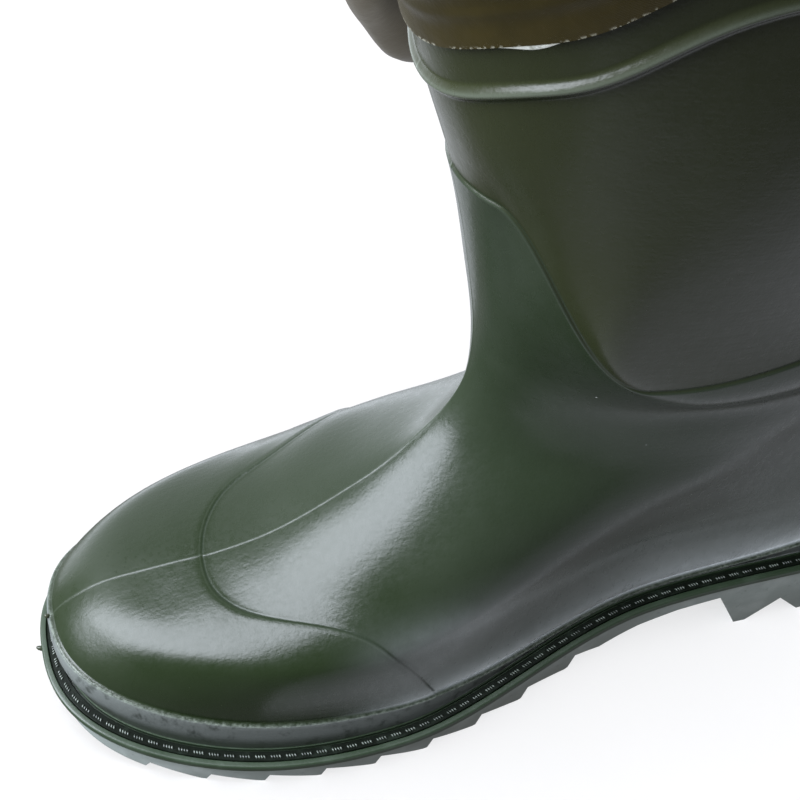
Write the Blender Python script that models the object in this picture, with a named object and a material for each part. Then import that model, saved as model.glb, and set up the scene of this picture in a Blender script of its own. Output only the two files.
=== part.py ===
"""Left boot of a pair of waders: a moulded PVC boot with the end of its cloth leg.

Sizes are millimetres in the boot's own frame: x runs from the back of the heel to the toe,
y to the boot's left and z up from the floor. The parts are scaled to metres as they are made.
"""

import math
from collections import namedtuple

import bmesh
import bpy
import numpy as np

NAME = "wader_boot_left"
MM = 0.001

# Outline of the sole's lip, seen from above
LIP_LENGTH = 297.5
Outline = namedtuple("Outline", "ball_x ball waist_x waist heel_x heel toe_power heel_power")
LEFT = Outline(200.0, 50.6, 115.0, 37.5, 52.0, 39.6, 2.5, 2.3)
RIGHT = Outline(212.0, 52.0, 132.0, 33.6, 52.0, 39.0, 2.28, 2.3)

# The boot's mid-line, which swings inwards at the toe
Swing = namedtuple("Swing", "x y")
SWING = (Swing(0, 0), Swing(60, 0), Swing(120, 0.4), Swing(170, 2.0), Swing(205, 2.9),
         Swing(240, 1.5), Swing(270, -1.4), Swing(LIP_LENGTH, -3.0))

# Height of the lip's top face along the boot: heel, arch, ball and toe spring
Seat = namedtuple("Seat", "x z")
SEAT = (Seat(0, 31.0), Seat(35, 30.6), Seat(75, 30.3), Seat(110, 28.0), Seat(150, 21.3),
        Seat(190, 14.6), Seat(230, 13.4), Seat(265, 16.0), Seat(LIP_LENGTH, 22.5))

# Upper: its wall, and the steps, rib and parting line on it
WALL = 2.3
PANEL_STEP = 0.9
CAP_STEP = 0.8
RAND_STEP = 1.7
STEP_RUN = 0.5
RIB_RADIUS = 1.9
RIB_SHARE = 0.8
RIB_FACETS = 4
RIDGE = 0.6
RIDGE_HALF_ANGLE = 0.02

# Rand round the foot of the upper: its height, and how far its top leans out
RAND_INSET = 6.2
Rand = namedtuple("Rand", "x height lean")
RAND = (Rand(0, 11.0, 0.4), Rand(40, 9.0, 0.4), Rand(65, 4.5, 0.4), Rand(82, 2.2, 0.4), Rand(105, 1.4, 0.4),
        Rand(140, 1.6, 0.4), Rand(166, 4.0, 0.4), Rand(186, 8.3, 0.4), Rand(205, 11.2, 0.4),
        Rand(237, 13.5, 0.4), Rand(265, 14.6, 0.4), Rand(281, 14.9, 0.7), Rand(LIP_LENGTH, 15.0, 2.6))
RAND_LEAN = Rand._fields.index("lean")
FEATHER_INSET = RAND_INSET + RAND_STEP + PANEL_STEP

# Foot levels: a row for each course round the foot. The insets say how far the wall lies
# inside the lip line at ball, waist and heel; toe_len is the length of the rounded front.
# The right side's toe power is larger by right_fuller.
Foot = namedtuple("Foot", ("front_x", "front_z", "back_x", "back_z", "ball_in", "waist_in", "heel_in",
                           "toe_len", "toe_power", "right_fuller"))
FOOT = (
    Foot(284.5, 44.0, 7.8, 47.0, 8.0, 8.2, 7.8, 82, 2.1, 0.1),
    Foot(276.5, 49.2, 7.2, 50.5, 8.2, 8.0, 7.4, 79, 2.1, 0.1),
    Foot(266.5, 52.0, 6.8, 54.0, 8.4, 7.6, 7.1, 77, 2.05, 0.12),
    Foot(255.0, 54.2, 6.5, 58.0, 8.6, 7.2, 6.9, 76, 2.05, 0.2),
    Foot(242.0, 56.8, 6.5, 62.5, 8.8, 6.6, 6.8, 76, 2.1, 0.46),
    Foot(228.0, 61.0, 7.0, 68.0, 9.0, 6.0, 6.8, 76, 2.1, 0.7),
    Foot(215.0, 67.6, 8.4, 75.0, 9.4, 5.2, 7.0, 77, 2.05, 0.7),
    Foot(202.0, 76.0, 10.8, 83.0, 10.0, 4.2, 7.4, 79, 1.95, 0.1),
    Foot(189.0, 85.6, 13.6, 92.5, 10.6, 2.8, 7.6, 82, 1.8, -0.25),
    Foot(178.4, 96.0, 16.6, 103.0, 10.8, 1.2, 7.0, 84, 1.65, -0.4),
    Foot(171.8, 108.0, 19.4, 114.0, 10.4, -0.6, 5.6, 84, 1.65, -0.4),
    Foot(168.6, 122.0, 22.0, 126.0, 10.0, -2.4, 3.6, 80, 1.8, -0.25),
)
BACK_POWER = 2.2
BACK_LEN = 48.0

# Shaft levels: the course falls or rises from the front to the side between the angles
# hold and reach, and from there to the back within the turn BACK_TURN. It dips at DIP_TURN.
Shaft = namedtuple("Shaft", "front_x front_z side_z back_x back_z half hold reach dip")
SHAFT = (
    Shaft(170.6, 150.0, 129.0, 25.0, 136.0, 42.0, 14, 74, 0.0),
    Shaft(177.8, 186.5, 137.0, 27.0, 147.0, 43.0, 21, 63.5, 0.0),
    Shaft(181.8, 200.0, 191.0, 37.0, 198.0, 47.5, 8, 75, 1.0),
    Shaft(186.0, 214.0, 252.0, 47.0, 252.0, 53.0, 0, 82, 4.3),
    Shaft(191.0, 235.0, 274.0, 52.0, 274.0, 55.0, 0, 84, 3.4),
)
BACK_TURN = 60
DIP_TURN = 47
DIP_SPREAD = 14
PANEL_ROW = 1
RIB_ROW = 3
SHAFT_PARTS = (0.35, 0.7, 1.0, 1.5)

# Edge of the toe cap on each side: its place along the boot at each lean from upright
Edge = namedtuple("Edge", "lean x")
CAP_LEFT = (Edge(0, 246.0), Edge(18.6, 245.5), Edge(27.6, 242.0), Edge(34, 236.0), Edge(38.5, 228.0),
            Edge(43, 217.0), Edge(47, 209.5), Edge(53, 203.0), Edge(63, 196.5), Edge(77, 191.0),
            Edge(96, 185.0))
CAP_RIGHT = (Edge(0, 246.0), Edge(8.3, 244.6), Edge(16.7, 242.0), Edge(23.4, 238.2), Edge(27.6, 233.6),
             Edge(29.8, 227.6), Edge(31.2, 219.0), Edge(32.3, 210.0), Edge(33.5, 202.0), Edge(35.5, 195.5),
             Edge(41, 190.5), Edge(55, 187.5), Edge(75, 185.5), Edge(96, 183.5))
CAP_AXIS_Z = 20.0
CAP_REACH = (6.0, 90.0)
CAP_LEVELS = 9
CAP_FOOT = 0.6
CAP_PARTS = 2

# Outsole: lip, side step under it, groove and the welt in it, each by its insets from the lip
Span = namedtuple("Span", "outer inner")
GAP = 0.3
LIP_DEPTH = 2.6
LIP_ROUND = 0.75
SIDE_INSET = 1.2
SIDE_DROP = 0.6
SIDE_DRAFT = 2.0
GROOVE = Span(1.9, 5.9)
GROOVE_DEPTH = 1.6
WELT = Span(2.2, 5.2)
WELT_DROP = 0.1

# Tread seen from the side: the line of the lug tips, then the lugs of forefoot and heel
Tread = namedtuple("Tread", "x z")
TREAD = (Tread(89.5, 20.4), Tread(104, 18.6), Tread(117, 15.2), Tread(130, 9.8), Tread(147, 2.4),
         Tread(160, 0.0), Tread(262, 0.0), Tread(272, 1.2), Tread(285, 5.4), Tread(302, 14.0))
Lugs = namedtuple("Lugs", "front_x pitch count land face_run")
FOREFOOT_LUGS = Lugs(274.4, 16.7, 9, 4.0, 1.8)
HEEL_LUGS = Lugs(80.0, 22.8, 4, 4.0, 9.0)
LUG_STEP = Span(4.0, 7.2)
HEEL_LUG_RISE = 10.8
BEYOND = 6.0

# Insole, and the leg: its band on the boot, then rows of the slack cloth with a hanging fold.
# The fold is closed: the leg's inside leaves out the rows that hang, which follow the first row.
INSOLE_THICK = 4.0
INSOLE_CLEAR = 0.6
CLOTH = 1.1
CLOTH_GAP = 0.35
BAND_RISE = 12.2
Leg = namedtuple("Leg", "rise out fold_out fold_drop")
LEG = (
    Leg(3.0, 1.8, 2.0, 0.0),
    Leg(9.0, 2.2, 9.0, 10.0),
    Leg(16.0, 2.4, 15.0, 48.0),
    Leg(24.0, 2.6, 20.0, 105.0),
    Leg(31.0, 2.8, 24.0, 144.0),
    Leg(38.0, 3.0, 28.0, 158.0),
    Leg(46.0, 3.2, 31.0, 146.0),
    Leg(56.0, 3.2, 32.0, 100.0),
    Leg(70.0, 3.0, 27.0, 44.0),
    Leg(86.0, 2.4, 16.0, 8.0),
    Leg(98.0, 2.0, 9.0, 0.0),
)
HANGING_ROWS = 7
LEG_INSIDE = LEG[:1] + LEG[1 + HANGING_ROWS:]
FOLD_ANGLE = math.radians(-77)
FOLD_SPREAD = math.radians(46)

# Places round a course: angle 0 is the front, positive angles are the left side
COLUMNS = 56
ANGLE_STEP = 0.004
SKIN_STEP = 0.05
ON_LINE = 1e-6

SHARP_ANGLE = math.radians(40)

# Finishes: base colour and roughness
FINISH = {
    "outsole": ((0.055, 0.066, 0.056), 0.55),
    "welt": ((0.012, 0.020, 0.012), 0.5),
    "upper": ((0.030, 0.042, 0.022), 0.35),
    "insole": ((0.16, 0.15, 0.12), 0.9),
    "leg": ((0.075, 0.066, 0.030), 0.75),
}


def spline(knots, values, at):
    """Natural cubic curves, one for each column of the knots.

    Knots and places have rows and columns; values have one more axis for what is read.
    """
    knots, values, at = (np.asarray(item, float) for item in (knots, values, at))
    rows, columns = knots.shape
    step = np.diff(knots, axis=0)
    slope = np.diff(values, axis=0) / step[..., None]
    system = np.tile(np.eye(rows), (columns, 1, 1))
    load = np.zeros((columns, rows, values.shape[2]))
    for i in range(1, rows - 1):
        system[:, i, i - 1:i + 2] = np.stack([step[i - 1], 2 * (step[i - 1] + step[i]), step[i]], -1)
        load[:, i] = 6 * (slope[i] - slope[i - 1])
    bend = np.swapaxes(np.linalg.solve(system, load), 0, 1)
    place = np.clip((at[:, None, :] >= knots[None]).sum(axis=1) - 1, 0, rows - 2)
    column = np.arange(columns)[None]
    width = step[place, column][..., None]
    right = (at - knots[place, column])[..., None] / width
    left = 1 - right
    chord = left * values[place, column] + right * values[place + 1, column]
    bow = (left ** 3 - left) * bend[place, column] + (right ** 3 - right) * bend[place + 1, column]
    return chord + bow * width ** 2 / 6


def along(table, x, column=1):
    """Read a column of a table as a smooth curve over its first column."""
    rows = np.array(table, float)
    at = np.clip(np.asarray(x, float), rows[0, 0], rows[-1, 0])
    values = rows[:, column].reshape(-1, 1, 1)
    return spline(rows[:, :1], values, at.reshape(-1, 1)).reshape(at.shape)


def ease(value):
    """Smooth step from 0 to 1."""
    value = np.clip(value, 0.0, 1.0)
    return value * value * (3 - 2 * value)


def ramp(angle, start, end):
    """Cosine ramp from 0 to 1 between two angles in degrees."""
    part = np.clip((np.degrees(np.abs(angle)) - start) / (end - start), 0.0, 1.0)
    return 0.5 - 0.5 * np.cos(np.pi * part)


def rounded(run, length, power):
    """Share of the full width at a distance from a rounded end."""
    part = np.clip(run / length, 0.0, 1.0)
    return (1 - (1 - part) ** power) ** (1 / power)


def wrap(angle):
    """Angle brought to the range from minus pi to pi."""
    return (angle + np.pi) % (2 * np.pi) - np.pi


def column_angles(count=COLUMNS):
    """Angles round a course, with a close pair beside the parting line at front and back."""
    even = np.arange(count) * 2 * np.pi / count
    beside = np.array([RIDGE_HALF_ANGLE, -RIDGE_HALF_ANGLE])
    return np.sort(np.concatenate([even, beside % (2 * np.pi), beside + np.pi]))


def wall_base(x, outline, ball, waist, heel):
    """Half width along the foot without its rounded ends."""
    front = waist + (ball - waist) * ease((x - outline.waist_x) / (outline.ball_x - outline.waist_x))
    back = heel + (waist - heel) * ease((x - outline.heel_x) / (outline.waist_x - outline.heel_x))
    return np.where(x > outline.waist_x, front, back)


def lip_half(x, outline):
    """Half width of the sole's lip at a place along the boot."""
    base = wall_base(x, outline, outline.ball, outline.waist, outline.heel)
    toe = rounded(LIP_LENGTH - x, LIP_LENGTH - outline.ball_x, outline.toe_power)
    return base * toe * rounded(x, outline.heel_x, outline.heel_power)


def by_side(angle, make):
    """Signed half width from a function of each side's outline."""
    left = np.sin(angle) >= 0
    return np.where(left, make(LEFT, 1), -make(RIGHT, -1))


def lip_course(angle):
    """Closed course along the edge of the lip, at the height of its top face."""
    x = LIP_LENGTH * (1 + np.cos(angle)) / 2
    y = along(SWING, x) + by_side(angle, lambda outline, side: lip_half(x, outline))
    return np.stack([x, y, along(SEAT, x)], -1)


def outward(run):
    """Unit normals of a course from its runs, seen from above."""
    normal = np.stack([run[:, 1], -run[:, 0], np.zeros(len(run))], -1)
    return normal / np.linalg.norm(normal, axis=1, keepdims=True)


def lip_inset(angle, inset, drop=0.0):
    """Course inside the lip's edge, lowered by drop."""
    run = lip_course(angle + ANGLE_STEP) - lip_course(angle - ANGLE_STEP)
    course = lip_course(angle) - outward(run) * np.reshape(inset, (-1, 1))
    course[:, 2] -= drop
    return course


def foot_course(level, angle):
    """Course round the foot at one foot level."""
    x = level.back_x + (level.front_x - level.back_x) * (1 + np.cos(angle)) / 2
    z = level.back_z + (level.front_z - level.back_z) * (1 + np.cos(angle)) / 2

    def half(outline, side):
        base = wall_base(x, outline, outline.ball - level.ball_in, outline.waist - level.waist_in,
                         outline.heel - level.heel_in)
        power = level.toe_power + (level.right_fuller if side < 0 else 0.0)
        front = rounded(level.front_x - x, level.toe_len, power)
        return base * front * rounded(x - level.back_x, BACK_LEN, BACK_POWER)

    return np.stack([x, along(SWING, x) + by_side(angle, half), z], -1)


def shaft_course(level, angle):
    """Course round the shaft at one shaft level."""
    x = level.back_x + (level.front_x - level.back_x) * (1 + np.cos(angle)) / 2
    z = level.front_z + (level.side_z - level.front_z) * ramp(wrap(angle), level.hold, level.reach)
    z = z + (level.back_z - level.side_z) * ramp(wrap(angle), level.reach, level.reach + BACK_TURN)
    z = z - level.dip * np.exp(-((np.degrees(np.abs(wrap(angle))) - DIP_TURN) / DIP_SPREAD) ** 2)
    return np.stack([x, along(SWING, x) + level.half * np.sin(angle), z], -1)


class UpperForm:
    """The upper's outer face below its steps: a smooth skin through all the levels.

    Levels count from 0 at the feather edge: 1 is the rand's top edge, then come the foot
    levels and the shaft levels.
    """

    RAND = 1
    PANEL = 2 + len(FOOT) + PANEL_ROW
    RIB = 2 + len(FOOT) + RIB_ROW
    COLLAR = 1 + len(FOOT) + len(SHAFT)

    @staticmethod
    def courses(angle):
        """Every level's course at the angles given."""
        feather = lip_inset(angle, FEATHER_INSET)
        rand = lip_inset(angle, FEATHER_INSET - along(RAND, feather[:, 0], RAND_LEAN))
        rand[:, 2] += along(RAND, rand[:, 0])
        rows = [feather, rand]
        rows += [foot_course(level, angle) for level in FOOT]
        rows += [shaft_course(level, angle) for level in SHAFT]
        return np.array(rows)

    def skin(self, angle, levels, beyond):
        """Points of the skin at some levels, each moved up the skin by some millimetres."""
        rows = self.courses(angle)
        gaps = np.linalg.norm(np.diff(rows, axis=0), axis=2)
        knots = np.concatenate([np.zeros((1, len(angle))), np.cumsum(gaps, axis=0)])
        low = np.clip(np.floor(levels).astype(int), 0, len(rows) - 2)
        share = (np.asarray(levels, float) - low)[:, None]
        at = knots[low] * (1 - share) + knots[low + 1] * share + np.asarray(beyond, float)[:, None]
        return spline(knots, rows, at)

    def course(self, angle, level, beyond=0.0, out=0.0):
        """Course at a level, moved up the skin by beyond and along its normal by out."""
        up = self.skin(angle, [level] * 3, [beyond - SKIN_STEP, beyond, beyond + SKIN_STEP])
        ahead = self.skin(angle + ANGLE_STEP, [level], [beyond])[0]
        behind = self.skin(angle - ANGLE_STEP, [level], [beyond])[0]
        normal = np.cross(ahead - behind, up[2] - up[0])
        normal /= np.linalg.norm(normal, axis=1, keepdims=True)
        return up[1] + normal * np.reshape(out, (-1, 1))


FORM = UpperForm()


def new_mesh(name, vertices, faces):
    """Mesh object in metres from millimetre points, with faces pointing out."""
    build = bmesh.new()
    points = [build.verts.new(tuple(float(v) * MM for v in point)) for point in vertices]
    for face in faces:
        build.faces.new([points[i] for i in face])
    bmesh.ops.recalc_face_normals(build, faces=build.faces)
    mesh = bpy.data.meshes.new(name)
    build.to_mesh(mesh)
    build.free()
    return bpy.data.objects.new(name, mesh)


def loft(name, courses, closed):
    """Skin through courses of equal length.

    A closed loft joins the last course to the first; an open one is shut at both ends by
    rungs from left to right across the course.
    """
    count = len(courses[0])
    vertices = np.concatenate(courses)
    faces = []
    for row in range(len(courses) if closed else len(courses) - 1):
        low, high = row * count, (row + 1) % len(courses) * count
        for i in range(count):
            j = (i + 1) % count
            faces.append((low + i, low + j, high + j, high + i))
    if not closed:
        for start in (0, (len(courses) - 1) * count):
            faces += rungs(start, count)
    return new_mesh(name, vertices, faces)


def rungs(start, count):
    """Faces across a course whose first point is at the front."""
    faces = []
    for i in range(count // 2):
        left, right = (i, i + 1), ((count - i - 1) % count, (count - i) % count)
        corners = list(dict.fromkeys((left[0], left[1], right[0], right[1])))
        faces.append(tuple(start + corner for corner in corners))
    return faces


def strip(name, sections):
    """Solid through sections of equal length, shut at its first and last section."""
    count = len(sections[0])
    last = (len(sections) - 1) * count
    faces = [tuple(range(count)), tuple(range(last + count - 1, last - 1, -1))]
    for row in range(len(sections) - 1):
        for i in range(count):
            j = (i + 1) % count
            faces.append((row * count + i, row * count + j, (row + 1) * count + j, (row + 1) * count + i))
    return new_mesh(name, np.concatenate(sections), faces)


def prism(name, outline, half_width):
    """Prism across the boot from an outline in x and z."""
    count = len(outline)
    left = [(x, half_width, z) for x, z in outline]
    right = [(x, -half_width, z) for x, z in outline]
    faces = [tuple(range(count)), tuple(range(2 * count - 1, count - 1, -1))]
    faces += [(i, (i + 1) % count, count + (i + 1) % count, count + i) for i in range(count)]
    return new_mesh(name, left + right, faces)


def boolean(target, operation, tool):
    """Boolean modifier that stays on its object."""
    modifier = target.modifiers.new(f"{operation.lower()}_{tool.name}", "BOOLEAN")
    modifier.operation = operation
    modifier.object = tool
    modifier.solver = "EXACT"


def ridge(angle):
    """Height of the parting line's ridge at each angle: only its own column stands up."""
    return np.where(np.abs(np.sin(angle)) < ON_LINE, RIDGE, 0.0)


def outer_courses(angle):
    """Courses up the outside of the upper, with the steps of its wall."""
    line = ridge(angle)
    panel = PANEL_STEP + line
    steps = [(FORM.RAND, -STEP_RUN, RAND_STEP + panel), (FORM.RAND, STEP_RUN, panel)]
    steps += [(level, 0.0, panel) for level in range(FORM.RAND + 1, FORM.PANEL)]
    steps += [(FORM.PANEL, -STEP_RUN, panel), (FORM.PANEL, STEP_RUN, line)]
    steps += [(FORM.PANEL + part, 0.0, line) for part in SHAFT_PARTS]
    for turn in np.linspace(0, np.pi, RIB_FACETS + 1):
        steps.append((FORM.RIB, -RIB_RADIUS * math.cos(turn), RIB_RADIUS * RIB_SHARE * math.sin(turn)))
    steps.append((FORM.COLLAR, 0.0, 0.0))
    return [lip_inset(angle, RAND_INSET)] + [FORM.course(angle, *step) for step in steps]


def inner_courses(angle):
    """Courses down the inside of the upper, a wall's thickness inside the skin."""
    levels = [FORM.COLLAR, FORM.RIB] + [FORM.PANEL + part for part in reversed(SHAFT_PARTS)]
    levels += list(range(FORM.PANEL, 0, -1))
    wall = [FORM.course(angle, level, 0.0, -WALL) for level in levels]
    return wall + [lip_inset(angle, FEATHER_INSET + WALL)]


def cap_line(table):
    """Leans and places of the cap's edge on one side, with steps between the table's rows."""
    leans = [row.lean for row in table]
    rows = np.arange((len(table) - 1) * CAP_PARTS + 1) / CAP_PARTS
    lean = np.interp(rows, range(len(table)), leans)
    return np.stack([lean, along(table, lean)], -1)


def cap_cutter():
    """Everything in front of the cap's edge, as sections that lean from side to side."""
    left, right = cap_line(CAP_LEFT), cap_line(CAP_RIGHT) * (-1, 1)
    front = LIP_LENGTH + BEYOND
    sections = []
    for lean, back in np.concatenate([right[:0:-1], left]):
        turn = math.radians(lean)
        inner, outer = ((reach * math.sin(turn), CAP_AXIS_Z + reach * math.cos(turn)) for reach in CAP_REACH)
        sections.append([(back, *inner), (back, *outer), (front, *outer), (front, *inner)])
    return strip("cap_cutter", sections)


def make_cap_layer(angle):
    """Toe cap: a layer of the upper's own form, cut to the cap's edge."""
    places = [(FORM.RAND * CAP_FOOT, 0.0), (FORM.RAND, STEP_RUN)]
    places += [(level, 0.0) for level in range(FORM.RAND + 1, FORM.RAND + CAP_LEVELS)]
    top = PANEL_STEP + CAP_STEP + ridge(angle)
    outer = [FORM.course(angle, *place, top) for place in places]
    inner = [FORM.course(angle, *place, -WALL / 2) for place in reversed(places)]
    layer = loft("cap_layer", outer + inner, closed=True)
    cutter = cap_cutter()
    boolean(layer, "INTERSECT", cutter)
    return layer, cutter


def make_upper(angle):
    """Upper: one hollow moulding, open at the collar and underneath."""
    upper = loft("upper", outer_courses(angle) + inner_courses(angle), closed=True)
    layer, cutter = make_cap_layer(angle)
    boolean(upper, "UNION", layer)
    return upper, [layer, cutter]


def tread_line():
    """Underside of the sole seen from the side, from heel to toe."""
    line = [(-BEYOND, HEEL_LUG_RISE)]
    for i in reversed(range(HEEL_LUGS.count)):
        tip = HEEL_LUGS.front_x - i * HEEL_LUGS.pitch
        line.append((max(tip - HEEL_LUGS.pitch + HEEL_LUGS.face_run, -BEYOND), HEEL_LUG_RISE))
        line += [(tip - HEEL_LUGS.land, 0.0), (tip, 0.0)]
    rear = FOREFOOT_LUGS.front_x - (FOREFOOT_LUGS.count - 1) * FOREFOOT_LUGS.pitch - FOREFOOT_LUGS.face_run
    line += [tuple(place) for place in TREAD if place.x < rear]
    lugs_x, lugs_z = zip(*TREAD)
    for i in reversed(range(FOREFOOT_LUGS.count)):
        tip = FOREFOOT_LUGS.front_x - i * FOREFOOT_LUGS.pitch
        low = float(np.interp(tip, lugs_x, lugs_z))
        step = LUG_STEP.outer + (LUG_STEP.inner - LUG_STEP.outer) * i / FOREFOOT_LUGS.count
        line += [(tip - FOREFOOT_LUGS.face_run, low + step), (tip, low)]
        line.append((tip + FOREFOOT_LUGS.land, float(np.interp(tip + FOREFOOT_LUGS.land, lugs_x, lugs_z))))
    return line + [tuple(place) for place in TREAD if place.x > line[-1][0]]


def make_outsole(angle):
    """Outsole: lip, stepped side, welt groove and bed, with the tread cut from below."""
    floor = lip_inset(angle, SIDE_INSET + SIDE_DRAFT)
    floor[:, 2] = -BEYOND
    courses = [
        floor,
        lip_inset(angle, SIDE_INSET, LIP_DEPTH + SIDE_DROP),
        lip_inset(angle, 0.0, LIP_DEPTH),
        lip_inset(angle, 0.0, LIP_ROUND),
        lip_inset(angle, LIP_ROUND),
        lip_inset(angle, GROOVE.outer),
        lip_inset(angle, GROOVE.outer, GROOVE_DEPTH),
        lip_inset(angle, GROOVE.inner, GROOVE_DEPTH),
        lip_inset(angle, GROOVE.inner, GAP),
    ]
    outsole = loft("outsole", courses, closed=False)
    line = tread_line()
    below = [(line[-1][0], -3 * BEYOND), (line[0][0], -3 * BEYOND)]
    tread = prism("tread_cutter", line + below, LIP_LENGTH / 2)
    boolean(outsole, "DIFFERENCE", tread)
    return outsole, [tread]


def make_welt(angle):
    """Welt: flat strip in the groove of the lip."""
    low = GROOVE_DEPTH - GAP
    corners = ((WELT.outer, low), (WELT.outer, WELT_DROP), (WELT.inner, WELT_DROP), (WELT.inner, low))
    return loft("welt", [lip_inset(angle, inset, drop) for inset, drop in corners], closed=True)


def make_insole(angle):
    """Insole: flat pad on the outsole's bed, clear of the upper's wall."""
    inset = FEATHER_INSET + WALL + INSOLE_CLEAR
    return loft("insole", [lip_inset(angle, inset, drop) for drop in (0.0, -INSOLE_THICK)], closed=False)


def leg_courses(angle, out, rows):
    """Courses up the cloth leg: the band on the boot, then rows of the slack cloth above it."""
    band = FORM.course(angle, FORM.RIB, BAND_RISE, out)
    top = FORM.course(angle, FORM.COLLAR, 0.0, out)
    normal = outward(np.roll(top, -1, axis=0) - np.roll(top, 1, axis=0))
    fold = np.exp(-(wrap(angle - FOLD_ANGLE) / FOLD_SPREAD) ** 2)
    courses = [band, top]
    for row in rows:
        course = top + normal * (row.out + row.fold_out * fold)[:, None]
        course[:, 2] += row.rise - row.fold_drop * fold
        courses.append(course)
    return courses


def make_leg(angle):
    """Leg: the end of the cloth leg, a thin tube with a slack fold that hangs on the right."""
    outside = leg_courses(angle, CLOTH_GAP + CLOTH, LEG)
    inside = leg_courses(angle, CLOTH_GAP, LEG_INSIDE)
    return loft("leg", outside + inside[::-1], closed=True)


def middle(parts):
    """Middle of the parts' box, seen from above, in metres."""
    points = np.array([vertex.co for part in parts for vertex in part.data.vertices])
    return (points.min(axis=0) + points.max(axis=0)) / 2


def finish(part):
    """Give a part its own material."""
    colour, roughness = FINISH[part.name]
    material = bpy.data.materials.new(f"{part.name}_finish")
    material.use_nodes = True
    shader = material.node_tree.nodes["Principled BSDF"]
    shader.inputs["Base Color"].default_value = (*colour, 1.0)
    shader.inputs["Roughness"].default_value = roughness
    shader.inputs["Metallic"].default_value = 0.0
    part.data.materials.append(material)
    part.data.shade_smooth()
    part.data.set_sharp_from_angle(angle=SHARP_ANGLE)


def main():
    """Build the boot and its cutters in two collections."""
    for item in list(bpy.data.objects):
        bpy.data.objects.remove(item, do_unlink=True)
    parts, cutters = (bpy.data.collections.new(name) for name in (NAME, f"{NAME}_cutters"))
    for group in (parts, cutters):
        bpy.context.scene.collection.children.link(group)
    angle = column_angles()
    outsole, tread = make_outsole(angle)
    upper, layers = make_upper(angle)
    boot = (outsole, make_welt(angle), upper, make_insole(angle), make_leg(angle))
    centre = middle(boot)
    origin = bpy.data.objects.new("boot_frame", None)
    origin.location = (-centre[0], -centre[1], 0.0)
    parts.objects.link(origin)
    for part in boot:
        parts.objects.link(part)
        part.parent = origin
        finish(part)
    for cutter in tread + layers:
        cutters.objects.link(cutter)
        cutter.parent = origin
        cutter.hide_render = True
        cutter.display_type = "WIRE"


main()
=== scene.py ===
"""Studio scene of the left boot of a pair of waders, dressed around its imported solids.

Sizes are millimetres in the boot's own frame, as in the part's source: x runs from the back
of the heel to the toe, y to the boot's left and z up from the floor. Meshes are moved to the
row frame and scaled to metres as they are made.
"""

import logging
import math
from dataclasses import dataclass
from enum import Enum
from typing import Any, Callable, Mapping, NamedTuple, Sequence, Union

import bmesh
import bpy
import numpy as np
from mathutils import Matrix


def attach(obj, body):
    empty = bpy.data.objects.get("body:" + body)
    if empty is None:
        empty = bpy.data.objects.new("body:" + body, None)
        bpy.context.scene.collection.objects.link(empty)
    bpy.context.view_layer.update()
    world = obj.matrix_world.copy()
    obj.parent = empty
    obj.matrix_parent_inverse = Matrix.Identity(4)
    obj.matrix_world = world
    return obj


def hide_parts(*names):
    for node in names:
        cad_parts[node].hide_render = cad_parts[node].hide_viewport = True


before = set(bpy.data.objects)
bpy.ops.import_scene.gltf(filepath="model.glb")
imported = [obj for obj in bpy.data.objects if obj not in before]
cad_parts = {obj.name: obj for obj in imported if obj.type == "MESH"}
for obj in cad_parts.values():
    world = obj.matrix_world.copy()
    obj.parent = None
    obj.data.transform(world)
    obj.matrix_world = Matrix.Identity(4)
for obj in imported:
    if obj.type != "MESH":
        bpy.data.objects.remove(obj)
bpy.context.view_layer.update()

LOG = logging.getLogger("wader_boot")
MM = 0.001
FRAME_MIDDLE = (148.75, -14.884, 0.0)

Array = np.ndarray
Colour = tuple[float, float, float]
Object = bpy.types.Object
Material = bpy.types.Material


class Side(Enum):
    """Sides of the boot, with the sign of y on each."""

    LEFT = 1
    RIGHT = -1


class Body(Enum):
    """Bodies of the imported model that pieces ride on."""

    ROOT = "root"


class Slot(Enum):
    """Material slots of the record."""

    OUTSOLE = "outsole"
    WELT = "welt"
    UPPER = "upper"
    INSOLE = "insole"
    LEG = "leg"


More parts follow.
